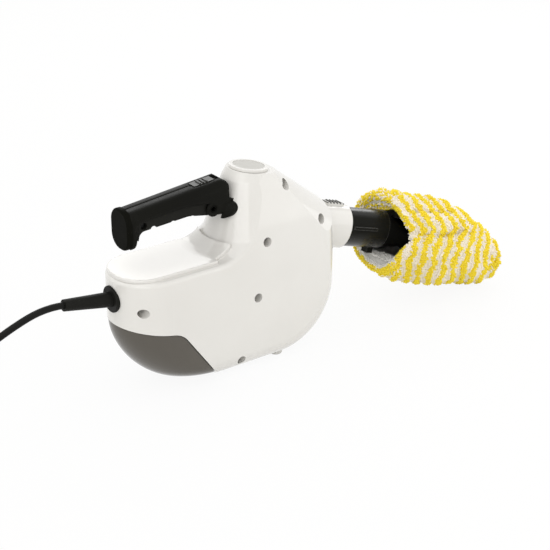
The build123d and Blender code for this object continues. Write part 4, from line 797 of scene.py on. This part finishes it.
def bag_form(s, phi):
    """The cloth's place without its ridges, at distance s from the collar and angle phi from the top."""
    drop, half_w, half_h = bag_size(s)
    swell, shift = bag_folds(s, phi)
    side, rise = np.sin(phi), np.cos(phi)
    square = 1 + SQUARE_BELLY * np.clip(-rise, 0, 1) * np.abs(side)
    wide = half_w + swell - CLOTH_SET
    tall = np.maximum(half_h + swell - CLOTH_SET, LEAST_HEIGHT)
    place = COLLAR + np.multiply.outer(s + shift, ALONG)
    place = place + np.multiply.outer(side * square, ACROSS) * wide[..., None]
    return place + np.multiply.outer(np.ones_like(s), UPWARD) * (drop + rise * square * tall)[..., None]


def outward(s, phi):
    along = bag_form(s + SLOPE_STEP, phi) - bag_form(s - SLOPE_STEP, phi)
    around = bag_form(s, phi + SLOPE_TURN) - bag_form(s, phi - SLOPE_TURN)
    return unit(np.cross(around, along))


def at_gather(place):
    """One where the end is gathered, zero from 18 mm away on."""
    return 1 - ease(np.linalg.norm(place - GATHER, axis=-1), GATHER_INNER, GATHER_OUTER)


def stripe_wave(place):
    """One in the middle of a yellow stripe, minus one between two. The stripes run back to the crease,
    forward from it, and in a star to the gathered end."""
    away = place - STRIPE_START
    level, height = away @ STRIPE_LEVEL, away @ STRIPE_UPRIGHT
    up = height - CREASE_RISE * ease(level, RISE_FROM, RISE_TO)
    below = STRIPE_BEND * np.exp(np.minimum(up, 0) / BEND_LENGTH)
    lean = np.where(up < 0, below, STRIPE_BEND - STRIPE_SLANT * up)
    lean = lean + WIDE_WAVER * np.sin(210 * height + 120 * level)
    lean = lean + FINE_WAVER * np.sin(430 * height - 260 * level + 1.0)
    wave = np.cos(2 * math.pi * (level - lean) / STRIPE)
    away = place - GATHER
    star = np.cos(STAR_ARMS * np.arctan2(away @ STRIPE_UPRIGHT, away @ STRIPE_LEVEL) + STAR_TURN)
    star = np.maximum(star, HEART_YELLOW - np.linalg.norm(away, axis=-1) / STAR_HEART)
    share = at_gather(place)
    return wave * (1 - share) + star * share


def rest_on_floor(place):
    """Presses the cloth flat where its pile would go through the floor."""
    gap = place[..., 2] - PILE_STAND
    place[..., 2] = PILE_STAND + 0.5 * (gap + np.hypot(gap, FLOOR_EASE))
    return place


def cloth_points(walk, phi):
    """The cloth along a walk: below zero the rolled rim and then the lining, above zero the outside."""
    within = -walk - HALF_ROLL
    s = MOUTH + np.where(walk >= 0, walk, np.maximum(within, 0))
    form = bag_form(s, phi)
    turn = np.clip(-walk / ROLL_R, 0, math.pi)
    inside = ease(within, 0, LINING_EASE)
    depth = ROLL_R * (1 - np.cos(turn)) * (1 - inside) + LINING_INSET * inside
    bunch = (TOP_BUNCH * hump(turn_from(phi, TOP_BUNCH_AT), width=0.85)
             + LOW_BUNCH * hump(turn_from(phi, LOW_BUNCH_AT), width=0.75))
    depth = depth + bunch * hump(within - BUNCH_IN, BUNCH_IN) * (walk < -HALF_ROLL)
    fading = 1 - ease(s, TIP - RIDGE_FADE, TIP - RIDGE_END)
    ridge = STRIPE_RIDGE * stripe_wave(form) * ease(walk, 0, RIDGE_FROM_RIM) * fading
    ridge = ridge * (1 - GATHER_CALM * at_gather(form))
    gathered = hump(np.linalg.norm(form - GATHER, axis=-1), GATHER_WIDTH)
    ridge = ridge + GATHER_RIDGE * gathered * (walk > 0)
    rolled = np.multiply.outer(ROLL_R * np.sin(turn), ALONG)
    return rest_on_floor(form + outward(s, phi) * (ridge - depth)[..., None] - rolled)


# Bonnet's colours and cloth

YELLOW = (0.97, 0.81, 0.075)
YELLOW_DEEP = (0.96, 0.75, 0.045)
CREAM = (0.98, 0.92, 0.82)
CREAM_DEEP = (0.97, 0.89, 0.75)
WHITE_PILE = (0.92, 0.91, 0.88)
WHITE_PILE_DEEP = (0.84, 0.83, 0.80)
LOOP_FLECK, GROUND_FLECK, LINING_FLECK = 260.0, 300.0, 220.0
YARN_TWIST, GROUND_WEAVE, LINING_THREAD = 1400.0, 700.0, 260.0
BONNET_ROUNDS = 216
OUTSIDE_ROWS, ROLL_ROWS, LINING_ROWS = 118, 9, 48
LINING_DEPTH = 0.158


def cloth_shader(name, colour):
    mat, tree, shader = begin_finish(name, colour, 0.95)
    shader.inputs["Sheen Weight"].default_value = 0.2
    shader.inputs["Sheen Tint"].default_value = (*colour, 1)
    shader.inputs["Sheen Roughness"].default_value = 0.5
    shader.inputs["Specular IOR Level"].default_value = 0.12
    return mat, tree, shader


def terry_finish(name, colour, shade):
    """Looped yarn: each loop has its own tone, with a fine twist in the thread."""
    mat, tree, shader = cloth_shader(name, colour)
    tone = node(tree, "Attribute", {"attribute_name": "tone"}).outputs["Fac"]
    fleck = ramp(tree, grain(tree, LOOP_FLECK), 0.35, 0.7)
    share = math_node(tree, "MULTIPLY", math_node(tree, "ADD", tone, fleck), 0.5)
    tree.links.new(blend_colours(tree, share, colour, shade), shader.inputs["Base Color"])
    raise_bump(tree, shader, grain(tree, YARN_TWIST, detail=2.0), strength=0.5, distance=0.0004)
    return mat


def striped_cloth():
    """Ground weave under the pile, in the same stripes."""
    mat, tree, shader = cloth_shader("terry_ground", YELLOW)
    wave = node(tree, "Attribute", {"attribute_name": "stripe"}).outputs["Fac"]
    fleck = ramp(tree, grain(tree, GROUND_FLECK), 0.35, 0.7)
    yellow = blend_colours(tree, fleck, YELLOW, YELLOW_DEEP)
    cream = blend_colours(tree, fleck, CREAM, CREAM_DEEP)
    tint = blend_colours(tree, ramp(tree, wave, -0.1, 0.15), cream, yellow)
    tree.links.new(tint, shader.inputs["Base Color"])
    raise_bump(tree, shader, grain(tree, GROUND_WEAVE), strength=0.8, distance=0.001)
    return mat


def lining_cloth():
    mat, tree, shader = cloth_shader("white_lining", WHITE_PILE)
    thread = node(tree, "TexWave", {"wave_type": "BANDS"}, Vector=place_of(tree), Scale=LINING_THREAD,
                  Distortion=1.5)
    tint = blend_colours(tree, grain(tree, LINING_FLECK), WHITE_PILE, WHITE_PILE_DEEP)
    tree.links.new(tint, shader.inputs["Base Color"])
    raise_bump(tree, shader, thread.outputs["Fac"], strength=0.5, distance=0.0006)
    return mat


def tube_faces(rings, sides):
    """The four-cornered faces between rings of points, each ring closed round."""
    faces = []
    for i in range(rings - 1):
        this, after = i * sides, (i + 1) * sides
        for j in range(sides):
            k = (j + 1) % sides
            faces.append((this + j, this + k, after + k, after + j))
    return faces


def bonnet_cloth():
    outside = np.linspace(TIP - MOUTH, 0, OUTSIDE_ROWS)
    roll = np.linspace(0, -HALF_ROLL, ROLL_ROWS)[1:]
    inside = -HALF_ROLL - np.linspace(0, LINING_DEPTH, LINING_ROWS)[1:]
    walk, phi = np.meshgrid(np.concatenate([outside, roll, inside]),
                            np.arange(BONNET_ROUNDS) * 2 * math.pi / BONNET_ROUNDS, indexing="ij")
    points = cloth_points(walk, phi).reshape(-1, 3)
    outer_tip, inner_tip = len(points), len(points) + 1
    last = len(points) - BONNET_ROUNDS
    points = np.array([*points, points[:BONNET_ROUNDS].mean(0), points[last:].mean(0)])
    faces = [(a, d, c, b) for a, b, c, d in tube_faces(len(walk), BONNET_ROUNDS)]
    neighbours = [(j, (j + 1) % BONNET_ROUNDS) for j in range(BONNET_ROUNDS)]
    faces += [(outer_tip, j, k) for j, k in neighbours]
    faces += [(inner_tip, last + k, last + j) for j, k in neighbours]
    mesh = bpy.data.meshes.new("bonnet_cloth")
    mesh.from_pydata(points, [], faces)
    stripe = mesh.attributes.new("stripe", "FLOAT", "POINT")
    stripe.data.foreach_set("value", stripe_wave(points).astype(np.float32))
    mesh.materials.append(striped_cloth())
    mesh.materials.append(lining_cloth())
    lined = (len(outside) + len(roll) // 2) * BONNET_ROUNDS
    for face in mesh.polygons:
        face.material_index = int(min(face.vertices) >= lined)
        face.use_smooth = True
    bonnet = add_to_scene("bonnet_cloth", mesh)
    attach(bonnet, "tool_body")
    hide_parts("bonnet")
    return bonnet


# Bonnet's pile of yarn loops

PILE_COLOURS = {
    "yellow": (YELLOW, YELLOW_DEEP),
    "cream": (CREAM, CREAM_DEEP),
    "white": (WHITE_PILE, WHITE_PILE_DEEP),
}
PILE_PITCH = 0.0024
PILED_LINING = 0.034
LINING_PITCH = 0.6 * PILE_PITCH
BARE_TIP = 0.002
RING_POINTS = 240
JITTER = 0.35
LEAN = 0.35
SIDE_TURN, FORE_STEP = 0.01, 0.0005
LOOP_RISE = {"yellow": 0.0024, "cream": 0.0020, "white": 0.0020}
RISE_LEAST, RISE_MOST = 0.75, 1.2
TUFT_RISE = 0.8
LOOP_ROOT = 0.0005
LOOP_HALF_WIDTH = 0.0010
LOOP_PAST = 0.2
LOOP_STEPS = 5
YARN_R = 0.00085
YARN_SIDES = 4

# Where the loops change colour: angles from the top, distances from the rim and shares of a colour
BOTTOM_AT, BOTTOM_WIDTH, BOTTOM_SHARE = 3.1, 0.85, 0.35
FAR_TOP_AT, FAR_TOP_WIDTH, FAR_TOP_SHARE = 5.55, 0.9, 0.4
BOTTOM_EDGE, YELLOW_EDGE, FAR_TOP_EDGE = 0.010, 0.005, 0.012
WHITE_ROLL = 0.55 * HALF_ROLL
YELLOW_FOLD, WHITE_LINING = 0.010, 0.004
# A band of mostly cream loops just inside the rim at the far top is a painted highlight
HIGHLIGHT_FROM, HIGHLIGHT_TO = 0.002, 0.007
EDGE_YELLOW, HIGHLIGHT_CREAM, FOLD_CREAM = 0.55, 0.6, 0.35
TUFT_FROM, TUFT_YELLOW = 0.3, 0.1
RAGGED_YELLOW = (-0.15, 0.60)


def pile_colour(wave, walk, phi, tuft):
    """Stripes outside, a yellow fold inside at the far top with a painted highlight of cream loops near the
    rim, white lining from the rim on at the bottom.
    """
    at_bottom = hump(turn_from(phi, BOTTOM_AT), BOTTOM_WIDTH) > BOTTOM_SHARE
    at_far_top = hump(turn_from(phi, FAR_TOP_AT), FAR_TOP_WIDTH) > FAR_TOP_SHARE
    within = -walk - HALF_ROLL
    if at_bottom and walk < BOTTOM_EDGE:
        if walk < -WHITE_ROLL:
            return "white"
        return "yellow" if walk < YELLOW_EDGE or rng.uniform() < EDGE_YELLOW else "cream"
    if at_far_top and walk < FAR_TOP_EDGE:
        if within > YELLOW_FOLD:
            return "yellow"
        # Cream loops between these depths are a painted highlight
        cream_and_highlight_share = HIGHLIGHT_CREAM if HIGHLIGHT_FROM < within < HIGHLIGHT_TO else FOLD_CREAM
        return "cream" if rng.uniform() < cream_and_highlight_share else "yellow"
    if within > WHITE_LINING:
        return "white"
    yellow_from = TUFT_YELLOW if tuft > TUFT_FROM else rng.uniform(*RAGGED_YELLOW)
    return "yellow" if wave > yellow_from else "cream"


def pile_rows():
    """The rows of loops along the cloth's walk, closer together in the lining."""
    lining = np.arange(-HALF_ROLL - PILED_LINING, -HALF_ROLL, LINING_PITCH)
    outside = np.arange(-HALF_ROLL, TIP - MOUTH - BARE_TIP, PILE_PITCH)
    return [*lining, *outside]


def cloth_ways(row, phi):
    """Unit ways round the cloth, along it and out of it."""
    side = unit(cloth_points(row, phi + SIDE_TURN) - cloth_points(row, phi - SIDE_TURN))
    fore = unit(cloth_points(row + FORE_STEP, phi) - cloth_points(row - FORE_STEP, phi))
    return side, fore, unit(np.cross(side, fore))


def terry_pile():
    """Fat looped tufts over the cloth, the rim and the first of the lining."""
    loops = {kind: [] for kind in PILE_COLOURS}
    for walk in pile_rows():
        ring = cloth_points(np.full(RING_POINTS, walk), np.linspace(0, 2 * math.pi, RING_POINTS))
        count = int(np.linalg.norm(np.diff(ring, axis=0), axis=1).sum() / PILE_PITCH)
        phi = (np.arange(count) + rng.uniform(-JITTER, JITTER, count)) * 2 * math.pi / count
        row = walk + rng.uniform(-JITTER, JITTER, count) * PILE_PITCH
        base = cloth_points(row, phi)
        side, fore, out = cloth_ways(row, phi)
        wave, tuft = stripe_wave(base), at_gather(base)
        for k in range(count):
            kind = pile_colour(wave[k], row[k], phi[k], tuft[k])
            turn = rng.uniform(0, math.pi)
            lay = side[k] * math.cos(turn) + fore[k] * math.sin(turn)
            lean = rng.uniform(-LEAN, LEAN, 2)
            rise = LOOP_RISE[kind] * rng.uniform(RISE_LEAST, RISE_MOST) * (1 + TUFT_RISE * tuft[k])
            peak = out[k] + side[k] * lean[0] + fore[k] * lean[1]
            loops[kind].append((base[k] - out[k] * LOOP_ROOT, lay, peak * rise, rng.uniform(0, 1)))
    return [pile_piece(kind, loops[kind]) for kind in PILE_COLOURS]


def pile_piece(kind, loops):
    """One mesh of small loops, each a bent four-sided thread."""
    base, lay, peak, tone = (np.array(part) for part in zip(*loops))
    up = unit(peak)
    third = unit(np.cross(lay, up))
    points = np.zeros((len(loops), LOOP_STEPS, YARN_SIDES, 3))
    for i, t in enumerate(np.linspace(-LOOP_PAST, math.pi + LOOP_PAST, LOOP_STEPS)):
        centre = base + lay * LOOP_HALF_WIDTH * math.cos(t) + peak * max(0.0, math.sin(t))
        ring = lay * math.cos(t) + up * math.sin(t)
        for j in range(YARN_SIDES):
            a = 2 * math.pi * j / YARN_SIDES
            points[:, i, j] = centre + YARN_R * (ring * math.cos(a) + third * math.sin(a))
    loop_points = LOOP_STEPS * YARN_SIDES
    faces = np.array(tube_faces(LOOP_STEPS, YARN_SIDES))
    starts = np.arange(len(loops)) * loop_points
    every = (faces[None] + starts[:, None, None]).reshape(-1, 4)
    mesh = bpy.data.meshes.new("bonnet_pile_" + kind)
    mesh.from_pydata(points.reshape(-1, 3), [], every.tolist())
    shade = mesh.attributes.new("tone", "FLOAT", "POINT")
    shade.data.foreach_set("value", np.repeat(tone, loop_points).astype(np.float32))
    mesh.polygons.foreach_set("use_smooth", np.ones(len(mesh.polygons), bool))
    mesh.materials.append(terry_finish("terry_" + kind, *PILE_COLOURS[kind]))
    piece = add_to_scene("bonnet_pile_" + kind, mesh)
    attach(piece, "tool_body")
    return piece


# The whole scene

bpy.context.scene.view_settings.view_transform = "Standard"
set_camera()
set_world()
for box in SOFTBOXES:
    softbox(*box)
lay_floor()
paint_nodes()
wire_spring("lever_spring", "trigger_spring", start=(-0.1793, 0, 0.1831), axis=(0, 0, 1), length=0.0115,
            turns=6)
wire_spring("button_coil", "button_spring", start=(0.05112, 0, 0.13166), axis=(0.2924, 0, 0.9563),
            length=0.0056, turns=3)
mains_lead(plug_moulding(), strap_tie())
cloth = bonnet_cloth()
pile = terry_pile()
